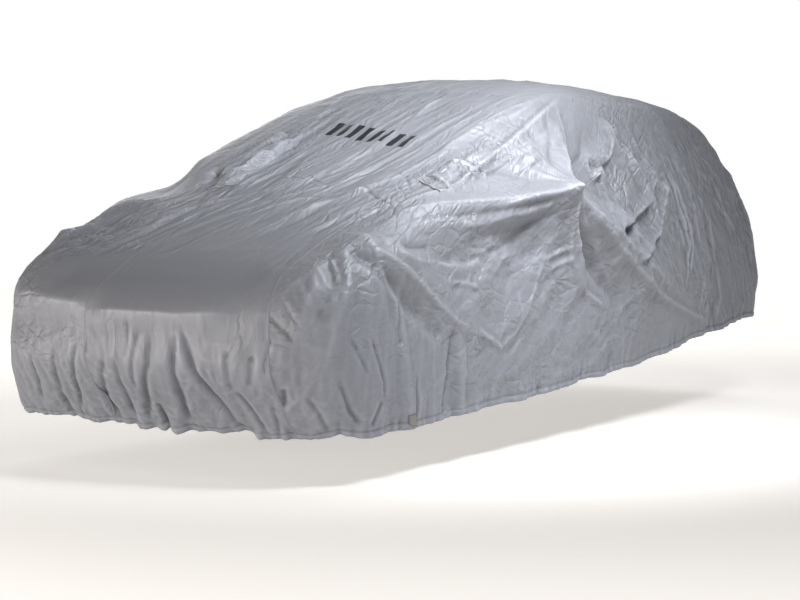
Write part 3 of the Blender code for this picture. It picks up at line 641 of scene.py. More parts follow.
APRON_FOLDS = (
    Fold("a1", ((-.56, -2.19, .47), (-.6, -2.13, .33), (-.64, -2.07, .25)), (20, 30), (-7, -18)),
    Fold("a2", ((-.41, -2.23, .5), (-.5, -2.12, .29), (-.51, -2.05, .2)), (20, 30), (-7, -20)),
    Fold("a3", ((-.28, -2.25, .52), (-.36, -2.18, .36), (-.44, -2.07, .21)), (20, 30), (-10, -20)),
    Fold("a4", ((-.15, -2.25, .47), (-.25, -2.13, .28), (-.23, -2.07, .19)), (20, 35), (-7, -25)),
    Fold("a5", ((-.09, -2.25, .47), (-.12, -2.17, .33), (-.15, -2.08, .2)), (20, 35), (-10, -25)),
    Fold("a6", ((-.02, -2.27, .61), (-.04, -2.25, .46)), (18, 18), (-10, -6)),
    Fold("a7", ((.03, -2.27, .58), (-.05, -2.18, .34)), (18, 20), (-7, -13)),
    Fold("a8", ((.08, -2.27, .57), (.06, -2.24, .45), (-.02, -2.17, .32), (-.08, -2.08, .2)), (20, 35),
         (-13, -22)),
    Fold("a9", ((.01, -2.14, .28), (.00, -2.06, .18)), (20, 30), (-10, -22)),
    Fold("upright stripe", ((.21, -2.26, .61), (.14, -2.15, .29), (.12, -2.08, .2)), (18, 40),
         (-10, -28)),
    Fold("slanting stripe", ((.22, -2.26, .61), (.29, -2.19, .36), (.34, -2.08, .21)), (18, 40),
         (-12, -30)),
    Fold("between the stripes", ((.2, -2.27, .56), (.24, -2.1, .2)), (30, 80), (4, 14), ROUND),
    Fold("a10", ((.42, -2.18, .36), (.47, -2.07, .19)), (20, 35), (-10, -25)),
    Fold("a11", ((.52, -2.21, .5), (.49, -2.18, .38)), (22, 22), (-13, -10)),
    Fold("a12", ((.62, -2.15, .38), (.59, -2.11, .3)), (22, 22), (-13, -13)),
    Fold("a13", ((.42, -2.22, .52), (.4, -2.17, .36)), (22, 22), (-10, -7)),
)

SCREEN_FOLDS = (
    Fold("long band", ((.6, -.02, 1.54), (.61, -.61, 1.38), (.57, -1.07, 1.21), (.44, -1.35, 1.11),
          (.28, -1.65, .99), (.16, -1.95, .87)), (60, 60), (10, 8)),
    Fold("roof band", ((-.03, -.11, 1.57), (.0, -.56, 1.43), (-.06, -1.08, 1.22)), (70, 70), (10, 6)),
    Fold("thin zigzag 1", ((-.04, -1.27, 1.14), (.12, -1.27, 1.14), (.27, -1.34, 1.11)), (12, 12),
         (-4, -3)),
    Fold("ring, upper", ((.49, -1.21, 1.15), (.56, -1.21, 1.15), (.65, -1.32, 1.09)), (12, 12), (-4, -4)),
    Fold("ring, lower", ((.64, -1.45, 1.04), (.55, -1.42, 1.06), (.45, -1.35, 1.1)), (12, 12), (-4, -4)),
    Fold("far pocket's hollow", ((-.47, -1.12, 1.19), (-.4, -1.27, 1.13)), (50, 60), (-50, -40)),
    Fold("far pocket's roll", ((-.36, -.8, 1.32), (-.33, -1.06, 1.22), (-.33, -1.24, 1.15)), (50, 50),
         (24, 20), ROUND),
    Fold("flap's edge", ((.75, -.97, 1.15), (.65, -1.03, 1.21)), (60, 60), (18, 18), EDGE),
    Fold("beyond the flap", ((.75, -.91, 1.16), (.67, -.97, 1.22)), (40, 40), (-14, -14)),
    Fold("flap's lower end", ((.65, -1.17, 1.15), (.74, -1.19, 1.1)), (50, 50), (16, 16), EDGE),
    Fold("inside the pocket", ((.73, -.86, 1.2), (.7, -.62, 1.3)), (50, 60), (-14, -8)),
    Fold("band 1", ((.59, -.23, 1.49), (.57, -.95, 1.25), (.52, -1.26, 1.13), (.32, -1.58, 1.01),
          (.17, -1.71, .96)), (60, 50), (13, 9), EDGE),
    Fold("band 2", ((.19, -.21, 1.54), (.21, -.7, 1.37), (.22, -1.11, 1.2), (.11, -1.33, 1.12),
          (-.04, -1.54, 1.03)), (70, 50), (13, 9), EDGE),
    Fold("band 3", ((-.04, -.22, 1.54), (-.09, -.53, 1.43), (-.16, -.71, 1.36)), (60, 50), (11, 8), EDGE),
    Fold("band 4", ((.61, .02, 1.51), (.71, -.71, 1.27), (.74, -1.2, 1.09), (.68, -1.44, 1.04),
          (.48, -1.65, .98)), (60, 50), (14, 10), EDGE),
    Fold("tension line", ((-.38, -.2, 1.53), (-.26, -.78, 1.33), (-.17, -1.28, 1.13),
          (-.15, -1.63, 1.0)), (30, 30), (7, 6)),
    Fold("streak 1", ((.58, -1.33, 1.1), (.22, -1.48, 1.05), (0, -1.72, .96)), (20, 20), (6, 5)),
    Fold("streak 2", ((.33, -1.27, 1.13), (-.02, -1.63, 1.0), (-.14, -1.86, .9)), (20, 20), (7, 5)),
    Fold("streak 3", ((.01, -1.38, 1.09), (-.29, -1.61, 1.0), (-.34, -1.86, .89)), (20, 20), (7, 5)),
    Fold("streak 4", ((-.13, -1.49, 1.05), (-.38, -1.7, .96), (-.41, -1.91, .87)), (20, 20), (6, 5)),
    Fold("streak 5", ((-.38, -1.37, 1.09), (-.54, -1.62, .99), (-.53, -1.86, .89)), (22, 20), (8, 6)),
    Fold("streak 6", ((.45, -.93, 1.27), (.4, -1.15, 1.18), (.3, -1.38, 1.09)), (20, 20), (6, 5)),
    Fold("pocket's upper edge", ((.69, -.56, 1.33), (.68, -.8, 1.27), (.66, -1.0, 1.21)), (40, 40),
         (-12, -10)),
)


# ---------------- fine wrinkles
PULL_START = 0.10         # distance from its centre over which a pull's wrinkles grow
PULL_FALL = 1.3           # how fast they sink towards its reach
PULL_POINT = 0.8          # how round their crests are
PULL_LEAN = 0.3           # how much X counts with Z in the turn round the centre
PULL_WOBBLE = 0.12        # radians that a wrinkle strays to the side,
PULL_WOBBLES = 5.0        # with so many turns to a metre
PULL_BREAKS = 1.2         # breaks to a metre along a wrinkle


class Pull(NamedTuple):
    """Fine wrinkles that fan out from a point where the cloth is pulled."""

    name: str
    centre: tuple
    reach: float
    count: float       # wrinkles in a full turn
    height: float
    seed: int

    def near(self, points: Array) -> Array:
        """Mask of the points within reach."""
        return np.linalg.norm(points - self.centre, axis=-1) < self.reach

    def relief(self, points: Array) -> Array:
        """Height of the wrinkles.

        Args:
            points: on the envelope.

        Returns:
            One height to a point.
        """
        off = points - np.array(self.centre)
        away = np.linalg.norm(off, axis=-1)
        side = np.sign(self.centre[0])
        turn = np.arctan2(off[..., 2] + PULL_LEAN * off[..., 0] * side, off[..., 1])
        turn = turn + smooth_noise(points * PULL_WOBBLES, self.seed) * PULL_WOBBLE
        ring = np.stack([np.cos(turn), np.sin(turn)], -1) * self.count / (2 * math.pi)
        flat = np.concatenate([ring, away[..., None] * PULL_BREAKS], -1)
        ridges = 1 - 2 * np.abs(smooth_noise(flat, self.seed + 1)) ** PULL_POINT
        fade = np.clip(away / PULL_START, 0, 1) * np.clip(1 - away / self.reach, 0, 1) ** PULL_FALL
        return self.height * fade * ridges


PULLS = (
    Pull("left mirror", (0.80, -0.47, 1.08), 0.70, 38, 0.0045, 3),
    Pull("left wing", (0.73, -1.78, 0.90), 0.50, 40, 0.0008, 7),
    Pull("right mirror", (-0.80, -0.50, 1.08), 0.70, 38, 0.0045, 11),
    Pull("right wing", (-0.72, -1.82, 0.88), 0.50, 34, 0.004, 13),
)


class Octave(NamedTuple):
    """One size of wrinkle within a crumple."""

    count: float       # wrinkles to one of the crumple's own size
    offset: float      # sets it off from the other sizes
    share: float       # of the crumple's height
    seed_step: int


FACETS = (Octave(0.55, 5.2, 2.2, 0), Octave(1.25, 11.7, 1.0, 1))
CREASES = (Octave(1.0, 0.0, 0.8, 0), Octave(2.1, 11.7, 0.40, 1))
SOFT_WAVE = Octave(0.7, 5.2, 0.9, 2)
CREASE_SLOPE = 2.2        # how fast a crease falls off beside its crest
BEND = 0.55               # how far wrinkles stray from straight, of their size,
BENDS = 0.45              # with so many bends to one of them
BEND_OFFSET = 3.1
BEND_SEED_STEP = 40


class Crumple(NamedTuple):
    """A region of uneven wrinkles."""

    name: str
    centre: tuple
    reach: tuple       # half-sizes X, Y, Z of the region
    along: tuple       # the way its wrinkles run
    stretch: float     # how much longer than wide
    size: float        # spacing across
    height: float
    seed: int
    facets: bool = False    # flat facets between sharp crests, and not soft wrinkles

    def relief(self, points: Array) -> Array:
        """Height of the wrinkles.

        Args:
            points: on the envelope.

        Returns:
            One height to a point.
        """
        along = np.array(self.along) / np.linalg.norm(self.along)
        squeezed = points - (points @ along)[..., None] * along * (1 - 1 / self.stretch)
        squeezed = squeezed / self.size
        bends = [smooth_noise(squeezed * BENDS + BEND_OFFSET * k, self.seed + BEND_SEED_STEP + k)
                 for k in range(3)]
        squeezed = squeezed + np.stack(bends, -1) * BEND
        if self.facets:
            heights = [size.share * facet_noise(squeezed * size.count + size.offset,
                                                self.seed + size.seed_step) for size in FACETS]
            return self.height * sum(heights)
        heights = []
        for size in CREASES:
            noise = smooth_noise(squeezed * size.count + size.offset, self.seed + size.seed_step)
            heights.append(size.share * (1 - CREASE_SLOPE * np.abs(noise)))
        soft = smooth_noise(squeezed * SOFT_WAVE.count + SOFT_WAVE.offset,
                            self.seed + SOFT_WAVE.seed_step)
        return self.height * (sum(heights) + SOFT_WAVE.share * soft)


CRUMPLES = (
    Crumple("everywhere", (0, 0, .8), (9, 9, 9), (0, 1.0, 0), 1.3, .22, .0035, 21),
    Crumple("screen", (.15, -.75, 1.3), (.75, .85, .45), (.12, .93, .35), 10.0, .055, .0055, 22),
    Crumple("screen foot", (.1, -1.45, 1.06), (.75, .5, .25), (.32, .88, .35), 13.0, .044, .0055, 35),
    Crumple("roof", (0, .6, 1.55), (.9, 1.1, .25), (.3, 1.0, 0), 3.5, .1, .0042, 23),
    Crumple("left door", (.88, -.55, .62), (.35, 1.2, .5), (0, .85, .45), 1.8, .075, .0095, 24, True),
    Crumple("left door, upper", (.85, -.85, .88), (.25, .55, .22), (0, 1.0, .15), 2.2, .055, .0075, 33,
            True),
    Crumple("left rear", (.8, .6, 1.02), (.4, .65, .5), (.1, -.45, .85), 1.6, .055, .0095, 25, True),
    Crumple("left rear, hind", (.8, 1.45, .9), (.4, .65, .65), (.1, -.3, .9), 4.5, .085, .0085, 34),
    Crumple("left rear, upright lines", (.8, 1.35, .85), (.45, .7, .55), (.1, -.22, .95), 8.0, .04,
            .0034, 38),
    Crumple("left wing", (.75, -1.85, .52), (.42, .5, .48), (0, .15, 1.0), 3.0, .07, .0058, 26, True),
    Crumple("wing front", (.66, -2.1, .62), (.18, .22, .26), (.3, -.2, 1.0), 1.8, .045, .0014, 36, True),
    Crumple("apron", (-.05, -2.25, .35), (.95, .35, .28), (0, .1, 1.0), 4.0, .06, .0045, 27),
    Crumple("right wing", (-.75, -1.85, .6), (.42, .6, .5), (0, .15, 1.0), 2.4, .075, .0065, 28, True),
    Crumple("right wing corner", (-.62, -2.06, .78), (.18, .22, .2), (0, -.3, 1.0), 2.2, .045, .006, 37,
            True),
    Crumple("right door", (-.88, -.55, .6), (.35, 1.2, .55), (0, .8, .55), 2.0, .085, .0075, 29, True),
    Crumple("right rear", (-.8, .75, .95), (.4, .85, .65), (.1, -.45, .85), 2.2, .07, .0075, 30, True),
    Crumple("tail", (0, 2.1, .75), (.9, .5, .6), (0, .1, 1.0), 3.0, .08, .006, 31),
    Crumple("bonnet, right", (-.35, -1.75, .95), (.45, .55, .3), (.35, .85, .35), 12.0, .05, .0055, 32),
)


class Calm(NamedTuple):
    """A region where the cloth lies taut and the wrinkles fade."""

    centre: tuple
    reach: tuple
    left_over: float    # share of the wrinkles that stays


CALMS = (
    Calm((-0.10, -2.12, 0.76), (0.62, 0.26, 0.14), 0.12),
    Calm((0.10, -1.75, 0.95), (0.35, 0.25, 0.12), 0.55),
)


# ---------------- the hem and the whole relief
@dataclass(frozen=True)
class HemShape:
    """The channel with the elastic, its gathers and the rolled edge."""

    rise: float = 0.30          # height above the hem at which the big waves die out
    tuck: float = 0.012         # how far the elastic draws the hem inwards
    shift: float = 0.17         # sets the left side's waves off from the right side's
    turn: float = 0.45          # half-width over which the waves run on round the ends
    waves: tuple = ((0.61, 0.006), (0.37, 0.008), (0.23, 0.006))    # length, height
    channel: float = 0.024      # height of the channel
    bulge: float = 0.0035       # how far the channel stands out
    stitch_depth: float = 0.0020
    stitch_gap: float = 0.002   # from the channel up to the stitches
    stitch_width: float = 0.003     # of the furrow that they draw
    pucker_spacing: float = 0.036
    pucker_stretch: float = 6.0     # how much taller than wide a pucker is
    pucker_height: float = 0.0080
    pucker_rise: float = 0.11
    puckers: tuple = ((1.0, 0.0, 1.0, 51), (1.9, 7.3, 0.5, 52))     # count, offset, share, seed
    dip: float = 0.010          # uneven height of the hem's edge,
    dip_size: tuple = (0.16, 0.16, 3.0)
    dip_rise: float = 0.20      # which dies out at this height above it
    dip_seed: int = 53
    roll_radius: float = 0.004
    roll_step: int = 30         # degrees from line to line of the roll
    turn_up: float = 0.022      # height of the turned-up cloth inside

    def lift(self, points: Array) -> Array:
        """How far the hem's waves, channel and puckers stand out.

        Args:
            points: on the envelope.

        Returns:
            One height to a point.
        """
        above = points[..., 2] - hem_height(points[..., 1])
        fade = np.clip(1 - above / self.rise, 0, 1) ** 2
        around = (points[..., 1] + np.sign(points[..., 0]) * self.shift
                  + np.arctan2(points[..., 0], self.turn))
        waves = sum(height * np.sin(2 * math.pi * around / length) for length, height in self.waves)
        spacing = self.pucker_spacing
        squeezed = points / (spacing, spacing, spacing * self.pucker_stretch)
        pucker = sum(share * smooth_noise(squeezed * count + offset, seed)
                     for count, offset, share, seed in self.puckers)
        pucker = pucker * self.pucker_height * np.clip(1 - above / self.pucker_rise, 0, 1)
        channel = self.bulge * np.sin(math.pi * np.clip(above / self.channel, 0, 1))
        off_stitches = (above - self.channel - self.stitch_gap) / self.stitch_width
        stitch = -self.stitch_depth * np.exp(-off_stitches ** 2)
        return fade * (waves - self.tuck) + pucker + channel + stitch

    def slip(self, points: Array) -> Array:
        """How far the hem hangs above or below its even line.

        Args:
            points: on the envelope.

        Returns:
            One step up or down to a point.
        """
        above = points[..., 2] - hem_height(points[..., 1])
        fade = np.clip(1 - above / self.dip_rise, 0, 1)
        return self.dip * fade * smooth_noise(points / self.dip_size, self.dip_seed)

    def roll(self, points: Array, outward: Array) -> Array:
        """Roll the hem's edge inwards and up.

        Args:
            points: the edge and the line above it, shape (2, n, 3).
            outward: the way out of the cloth along the edge, shape (n, 3).

        Returns:
            Lines of points from the edge on.
        """
        down = points[0] - points[1]
        down = unit(down - (down * outward).sum(-1, keepdims=True) * outward)
        lines = []
        for angle in np.radians(np.arange(self.roll_step, 180 + 1, self.roll_step)):
            lines.append(points[0] + down * self.roll_radius * math.sin(angle)
                         - outward * self.roll_radius * (1 - math.cos(angle)))
        lines.append(lines[-1] - down * self.turn_up)
        return np.stack(lines)


@dataclass(frozen=True)
class Relief:
    """Everything that stands out from the taut envelope."""

    hem: HemShape = HemShape()
    tents: tuple = TENTS
    folds: tuple = (BIG_FOLDS + MIRROR_FOLDS + REAR_FOLDS + WING_FOLDS + DOOR_FOLDS + APRON_FOLDS
                    + SCREEN_FOLDS)
    pulls: tuple = PULLS
    crumples: tuple = CRUMPLES
    calms: tuple = CALMS
    crinkle_least: float = 0.42     # share of the fine crinkles that shows where nothing crumples
    crinkle_height: float = 0.008   # height of a crumple that shows them all
    crinkle_drift: float = 0.35     # how unevenly they show,
    crinkle_drifts: float = 2.6     # with so many changes to a metre
    crinkle_seed: int = 91

    def calmed(self, values: Array, points: Array) -> Array:
        """Values that fade where the cloth lies taut.

        Args:
            values: one to a point.
            points: on the envelope.

        Returns:
            The faded values.
        """
        for calm in self.calms:
            values = values * (1 - (1 - calm.left_over) * region_share(points, calm.centre, calm.reach))
        return values

    def crinkle_share(self, points: Array) -> Array:
        """How much of the fine crinkles of the cloth's material shows.

        Args:
            points: on the envelope.

        Returns:
            One share to a point, from 0 to about 1.
        """
        least = self.crinkle_least
        share = np.full(points.shape[:-1], least)
        for row in self.crumples[1:]:       # the first lies everywhere
            strength = least + (1 - least) * min(1.0, row.height / self.crinkle_height)
            share += (strength - share) * region_share(points, row.centre, row.reach)
        drift = smooth_noise(points * self.crinkle_drifts, self.crinkle_seed)
        return self.calmed(share, points) * (1 + self.crinkle_drift * drift)

    def lift(self, points: Array, outward: Array) -> Array:
        """How far the cloth stands out of the envelope.

        Args:
            points: on the envelope.
            outward: the way out of it at each point.

        Returns:
            One height to a point.
        """
        lift = self.hem.lift(points)
        for tent in self.tents:
            near = tent.holds(points)
            lift[near] += tent.relief(points[near], outward[near])
        for fold in self.folds:
            near = fold.near(points)
            if near.any():
                lift[near] += fold.relief(points[near], outward[near])
        fine = np.zeros_like(lift)
        for pull in self.pulls:
            near = pull.near(points)
            fine[near] += pull.relief(points[near])
        for crumple in self.crumples:
            share = region_share(points, crumple.centre, crumple.reach)
            near = share > 0
            if near.any():
                fine[near] += share[near] * crumple.relief(points[near])
        return lift + self.calmed(fine, points)


RELIEF = Relief()


# ---------------- grids
def hem_cast(origins_plan: Array, rays_plan: Array) -> Array:
    """Hem points seen level from points on the pivot line.

    Args:
        origins_plan: X and Y of those points.
        rays_plan: level unit vectors.

    Returns:
        Points on the envelope at the hem's height.
    """
    height = np.full(origins_plan.shape[:-1], HEM[0].height)
    for _ in range(HEM_CASTS):
        origins = np.concatenate([origins_plan, height[..., None]], -1)
        hit = ENVELOPE.cast(origins, rays_plan)
        height = hem_height(hit[..., 1])
    return np.concatenate([hit[..., :2], height[..., None]], -1)


def end_tilt(x: Array, pivot: float, forward: float) -> Array:
    """Angle off upright at which the centre panel meets the hem at one end.

    Args:
        x: places across the panel.
        pivot: Y of that end of the pivot line.
        forward: 1 towards the tail, -1 towards the nose.

    Returns:
        Radians, one to a place.
    """
    origins = np.stack([x, np.full_like(x, pivot)], -1)
    hem = hem_cast(origins, np.array([0.0, forward, 0.0]))
    return np.arctan2(np.abs(hem[..., 1] - pivot), hem[..., 2] - PIVOT_HEIGHT)


def strip_points(station: Array, x: Array) -> Array:
    """Centre panel points.

    Args:
        station: 0 to 1 round the front, 1 to 2 along the pivot line, 2 to 3 at the tail.
        x: places across the panel.

    Returns:
        Points on the envelope.
    """
    station, x = np.broadcast_arrays(station, x)
    y = FRONT_PIVOT + (REAR_PIVOT - FRONT_PIVOT) * np.clip(station - 1, 0, 1)
    tilt = np.zeros(station.shape)
    front, rear = station < 1, station > 2
    tilt[front] -= end_tilt(x[front], FRONT_PIVOT, -1.0) * (1 - station[front])
    tilt[rear] += end_tilt(x[rear], REAR_PIVOT, 1.0) * (station[rear] - 2)
    origins = np.stack([x, y, np.full_like(y, PIVOT_HEIGHT)], -1)
    rays = np.stack([np.zeros_like(y), np.sin(tilt), np.cos(tilt)], -1)
    return ENVELOPE.cast(origins, rays)


def refined(count: int, refine: int, hem_first: bool = False, hem_last: bool = False) -> Array:
    """Places, in cells, of the fine lines of a row of cells, closer together at a hem.

    Args:
        count: cells of the solid's grid.
        refine: fine cells to one of them.
        hem_first: the first cell ends at a hem.
        hem_last: the last cell ends at a hem.

    Returns:
        Places from 0 to count.
    """
    lines = [k + np.arange(refine) / refine for k in range(count)]
    if hem_first:
        lines[0] = np.array(HEM_STEPS)
    if hem_last:
        lines[-1] = np.concatenate([[count - 1.0], count - np.array(HEM_STEPS)[:0:-1]])
    return np.concatenate(lines + [[float(count)]])


UP_LINES = refined(ROWS, REFINE, hem_first=True)
ALONG_LINES = refined(ROWS + COLUMNS_SIDE + COLUMNS_REAR + ROWS, REFINE, hem_first=True, hem_last=True)
SIDE_LINES = refined(COLUMNS_SIDE + COLUMNS_REAR, REFINE)
UP_COUNT = len(UP_LINES) - 1


def strip_layout() -> tuple[Array, Array, Array]:
    """Lay out the centre panel's lines.

    Returns:
        The station of each fine line, and X of the left seam and of the right one there.
    """
    fine = np.linspace(0, 3, 3 * STATION_STEPS + 1)
    middle = strip_points(fine, np.full_like(fine, (SEAMS[0].left + SEAMS[0].right) / 2))
    length = length_along(middle)
    top = (fine > 1) & (fine < 2)
    split = np.interp(REAR_SEAM_TOP, middle[top, 1], length[top])
    marks = (0, FRONT_DROP, split, length[-1] - REAR_DROP, length[-1])
    cells = np.cumsum((0, ROWS, COLUMNS_SIDE, COLUMNS_REAR, ROWS))
    along = np.interp(ALONG_LINES, cells, marks)
    places = [place.along for place in SEAMS]
    left = np.interp(along, places, [place.left for place in SEAMS])
    right = np.interp(along, places, [place.right for place in SEAMS])
    return np.interp(along, length, fine), left, right


def to_round(points: Array) -> Array:
    """Places round the cover of points on the envelope.

    Args:
        points: shape (..., 3).

    Returns:
        Position round the cover, as a length, and elevation seen from the pivot line.
    """
    x, y, z = np.abs(points[..., 0]), points[..., 1], points[..., 2]
    ahead = y - np.clip(y, FRONT_PIVOT, REAR_PIVOT)
    turn = np.arctan2(np.abs(ahead), x)
    around = np.clip(y, FRONT_PIVOT, REAR_PIVOT) + np.sign(ahead) * FAN_RADIUS * turn
    return np.stack([around, np.arctan2(z - PIVOT_HEIGHT, np.hypot(x, ahead))], -1)


def round_rays(around: Array, elevation: Array, side: Side) -> tuple[Array, Array]:
    """Rays that look out at places round the cover.

    Args:
        around: positions round the cover.
        elevation: radians.
        side: of the cover.

    Returns:
        Y of each ray's start on the pivot line, and its unit vector.
    """
    y = np.clip(around, FRONT_PIVOT, REAR_PIVOT)
    azimuth = math.pi / 2 + (around - y) / FAN_RADIUS
    return y, direction(azimuth, elevation) * (side.value, 1, 1)


def from_round(place: Array, side: Side) -> Array:
    """Points on the envelope for places round the cover, as to_round gives them."""
    y, rays = round_rays(place[..., 0], place[..., 1], side)
    return ENVELOPE.cast(np.stack([np.zeros_like(y), y, np.full_like(y, PIVOT_HEIGHT)], -1), rays)


def hem_round(around: Array, side: Side) -> Array:
    """Hem points for positions round the cover."""
    y, rays = round_rays(around, np.zeros_like(around), side)
    return hem_cast(np.stack([np.zeros_like(y), y], -1), rays)


def side_grid(seam: Array, side: Side) -> Array:
    """Fine grid of a whole side inside its seam.

    Args:
        seam: points of the centre panel's edge, from front hem to rear hem.
        side: of the cover.

    Returns:
        Points on the envelope, from the front and from the hem up.
    """
    count = len(SIDE_LINES) - 1
    left_edge = seam[:UP_COUNT + 1]
    top_edge = seam[UP_COUNT:UP_COUNT + count + 1]
    right_edge = seam[UP_COUNT + count:][::-1]
    marks = (to_round(left_edge[0])[0], REAR_SEAM_HEM, to_round(right_edge[0])[0])
    around = np.interp(SIDE_LINES, (0, COLUMNS_SIDE, COLUMNS_SIDE + COLUMNS_REAR), marks)
    hem_edge = hem_round(around, side)
    hem_edge[0], hem_edge[-1] = left_edge[0], right_edge[0]
    left, right, top, hem = (to_round(edge) for edge in (left_edge, right_edge, top_edge, hem_edge))
    u = (SIDE_LINES / SIDE_LINES[-1])[:, None, None]
    v = (UP_LINES / ROWS)[None, :, None]
    place = ((1 - v) * hem[:, None] + v * top[:, None] + (1 - u) * left[None] + u * right[None]
             - (1 - u) * (1 - v) * left[0] - u * (1 - v) * right[0]
             - (1 - u) * v * left[-1] - u * v * right[-1])
    grid = from_round(place, side)
    grid[:, 0], grid[:, -1], grid[0], grid[-1] = hem_edge, top_edge, left_edge, right_edge
    return grid


@dataclass
class Cloth:
    """A fine grid of cloth in the draping frame."""

    points: Array
    outward: Array      # the way out of the cloth at each point
    crinkle: Array      # how much of the fine crinkles shows there
    cut: Array          # faces that are left out

    @classmethod
    def draped(cls, base: Array) -> "Cloth":
        """Raise the relief out of the taut envelope.

        Args:
            base: grid of points on the envelope.

        Returns:
            The cloth over those points.
        """
        outward = ENVELOPE.outward(base)
        points = base + outward * RELIEF.lift(base, outward)[..., None]
        points[..., 2] += RELIEF.hem.slip(base)
        cut = np.zeros((base.shape[0] - 1, base.shape[1] - 1), bool)
        return cls(points, outward, RELIEF.crinkle_share(base), cut)

    def part(self, first: int, last: int) -> "Cloth":
        """The lines from first to last as a cloth of their own."""
        lines = np.s_[first:last + 1]
        return Cloth(self.points[lines], self.outward[lines], self.crinkle[lines], self.cut[first:last])


# ---------------- meshes
def to_part(points: Array) -> Array:
    """Move points from the draping frame into the part's frame."""
    return points - ORIGIN_IN_DRAPE


def put_in_scene(name: str, data: bpy.types.ID) -> bpy.types.Object:
    """Make an object of a mesh, a lamp or a camera and link it to the scene.

    Args:
        name: the object's name.
        data: what it shows.

    Returns:
        The object.
    """
    thing = bpy.data.objects.new(name, data)
    bpy.context.scene.collection.objects.link(thing)
    return thing


def grid_lengths(points: Array) -> tuple[Array, Array]:
    """Lay the cloth of a grid out flat.

    Args:
        points: the grid.

    Returns:
        Lengths in metres along the grid's two ways.
    """
    step_i = np.linalg.norm(np.diff(points, axis=0), axis=-1)
    step_j = np.linalg.norm(np.diff(points, axis=1), axis=-1)
    u = np.zeros(points.shape[:2])
    v = np.zeros(points.shape[:2])
    u[1:] = np.cumsum(step_i, axis=0)
    v[:, 1:] = np.cumsum(step_j, axis=1)
    return u, v


def grid_mesh(name: str, points: Array, crinkle: Array, cut: Optional[Array] = None,
              flip: bool = False) -> bpy.types.Object:
    """Object of four-sided faces on a grid of points in the draping frame.

    Args:
        name: the object's name.
        points: grid of points, shape (n, m, 3).
        crinkle: how much of the fine crinkles shows at each point, shape (n, m).
        cut: faces to leave out, shape (n - 1, m - 1).
        flip: turn the faces over.

    Returns:
        The object, with the layout "cloth" in metres and the attribute "crinkle".
    """
    n, m = points.shape[:2]
    index = np.arange(n * m).reshape(n, m)
    quads = np.stack([index[:-1, :-1], index[1:, :-1], index[1:, 1:], index[:-1, 1:]], -1)
    quads = quads.reshape(-1, 4) if cut is None else quads[~cut]
    if flip:
        quads = quads[:, ::-1]
    used = np.unique(quads)
    renumber = np.zeros(n * m, int)
    renumber[used] = np.arange(len(used))
    quads = renumber[quads]
    mesh = bpy.data.meshes.new(name)
    mesh.vertices.add(len(used))
    mesh.vertices.foreach_set("co", to_part(points.reshape(-1, 3)[used]).astype(np.float32).ravel())
    mesh.loops.add(quads.size)
    mesh.loops.foreach_set("vertex_index", quads.astype(np.int32).ravel())
    mesh.polygons.add(len(quads))
    mesh.polygons.foreach_set("loop_start", np.arange(0, quads.size, 4, dtype=np.int32))
    mesh.polygons.foreach_set("use_smooth", np.ones(len(quads), bool))
    mesh.update(calc_edges=True)
    u, v = grid_lengths(points)
    layout = np.stack([u.ravel()[used], v.ravel()[used]], -1)[quads.ravel()]
    mesh.uv_layers.new(name="cloth").data.foreach_set("uv", layout.astype(np.float32).ravel())
    shown = mesh.attributes.new("crinkle", "FLOAT", "POINT")
    shown.data.foreach_set("value", crinkle.ravel()[used].astype(np.float32))
    mesh.validate()
    return put_in_scene(name, mesh)


def measured_area(points: Array, cut: Optional[Array] = None) -> float:
    """Area of a grid's faces.

    Args:
        points: the grid.
        cut: faces that are left out.

    Returns:
        Square metres.
    """
    a = points[1:, :-1] - points[:-1, :-1]
    b = points[:-1, 1:] - points[:-1, :-1]
    c = points[1:, :-1] - points[1:, 1:]
    d = points[:-1, 1:] - points[1:, 1:]
    areas = (np.linalg.norm(np.cross(a, b), axis=-1) + np.linalg.norm(np.cross(c, d), axis=-1)) / 2
    return float(areas.sum() if cut is None else areas[~cut].sum())


# ---------------- materials
def linear(colour: str) -> tuple[float, float, float, float]:
    """Linear colour from an sRGB hex string such as "#9a9da8"."""
    parts = [int(colour[k:k + 2], 16) / 255 for k in (1, 3, 5)]
    return (*(p / 12.92 if p <= 0.04045 else ((p + 0.055) / 1.055) ** 2.4 for p in parts), 1.0)


def add_node(tree: bpy.types.NodeTree, kind: str, sockets: Optional[dict] = None,
             **settings) -> bpy.types.Node:
    """Add a node to a material's or the world's tree.

    Args:
        tree: where it goes.
        kind: its type.
        sockets: for its sockets, by name or number, the socket that feeds each or its value.
        settings: its properties.

    Returns:
        The node.
    """
    node = tree.nodes.new(kind)
    for name, value in settings.items():
        setattr(node, name, value)
    for name, source in (sockets or {}).items():
        if isinstance(source, bpy.types.NodeSocket):
            tree.links.new(source, node.inputs[name])
        else:
            node.inputs[name].default_value = source
    return node


@dataclass(frozen=True)
class Surface:
    """Values of one material's surface."""

    name: str
    colour: str
    metallic: float
    roughness: float
    ior: float = 1.5
    glow: float = 0.0               # painted glow: light that the surface gives off itself
    creases: float = 0.0            # slope of the fine creases' facets
    crease_size: float = 50 * MM    # between the large ones; coarser than real, so that they show
    stretch: tuple = (1.0, 1.0)     # how drawn out the creases are along and across the cloth


# Aluminium powder in the coating of a plain polyester weave: a soft, cool grey gleam that turns bright
# where a fold faces the lamps and dull in its hollows, with painted shade in the hollows and a painted
# highlight on the crests. Over bonnet and windscreen the creases run long.
SILVER_CENTRE = Surface("silver-coated taffeta, centre", "#80838b", 0.30, 0.58, creases=0.22,
                        stretch=(3.6, 0.9))
# The same cloth, crumpled without a grain where it hangs down the doors.
SILVER_SIDE = Surface("silver-coated taffeta, sides", "#80838b", 0.30, 0.58, creases=0.25,
                      stretch=(1.5, 1.0))
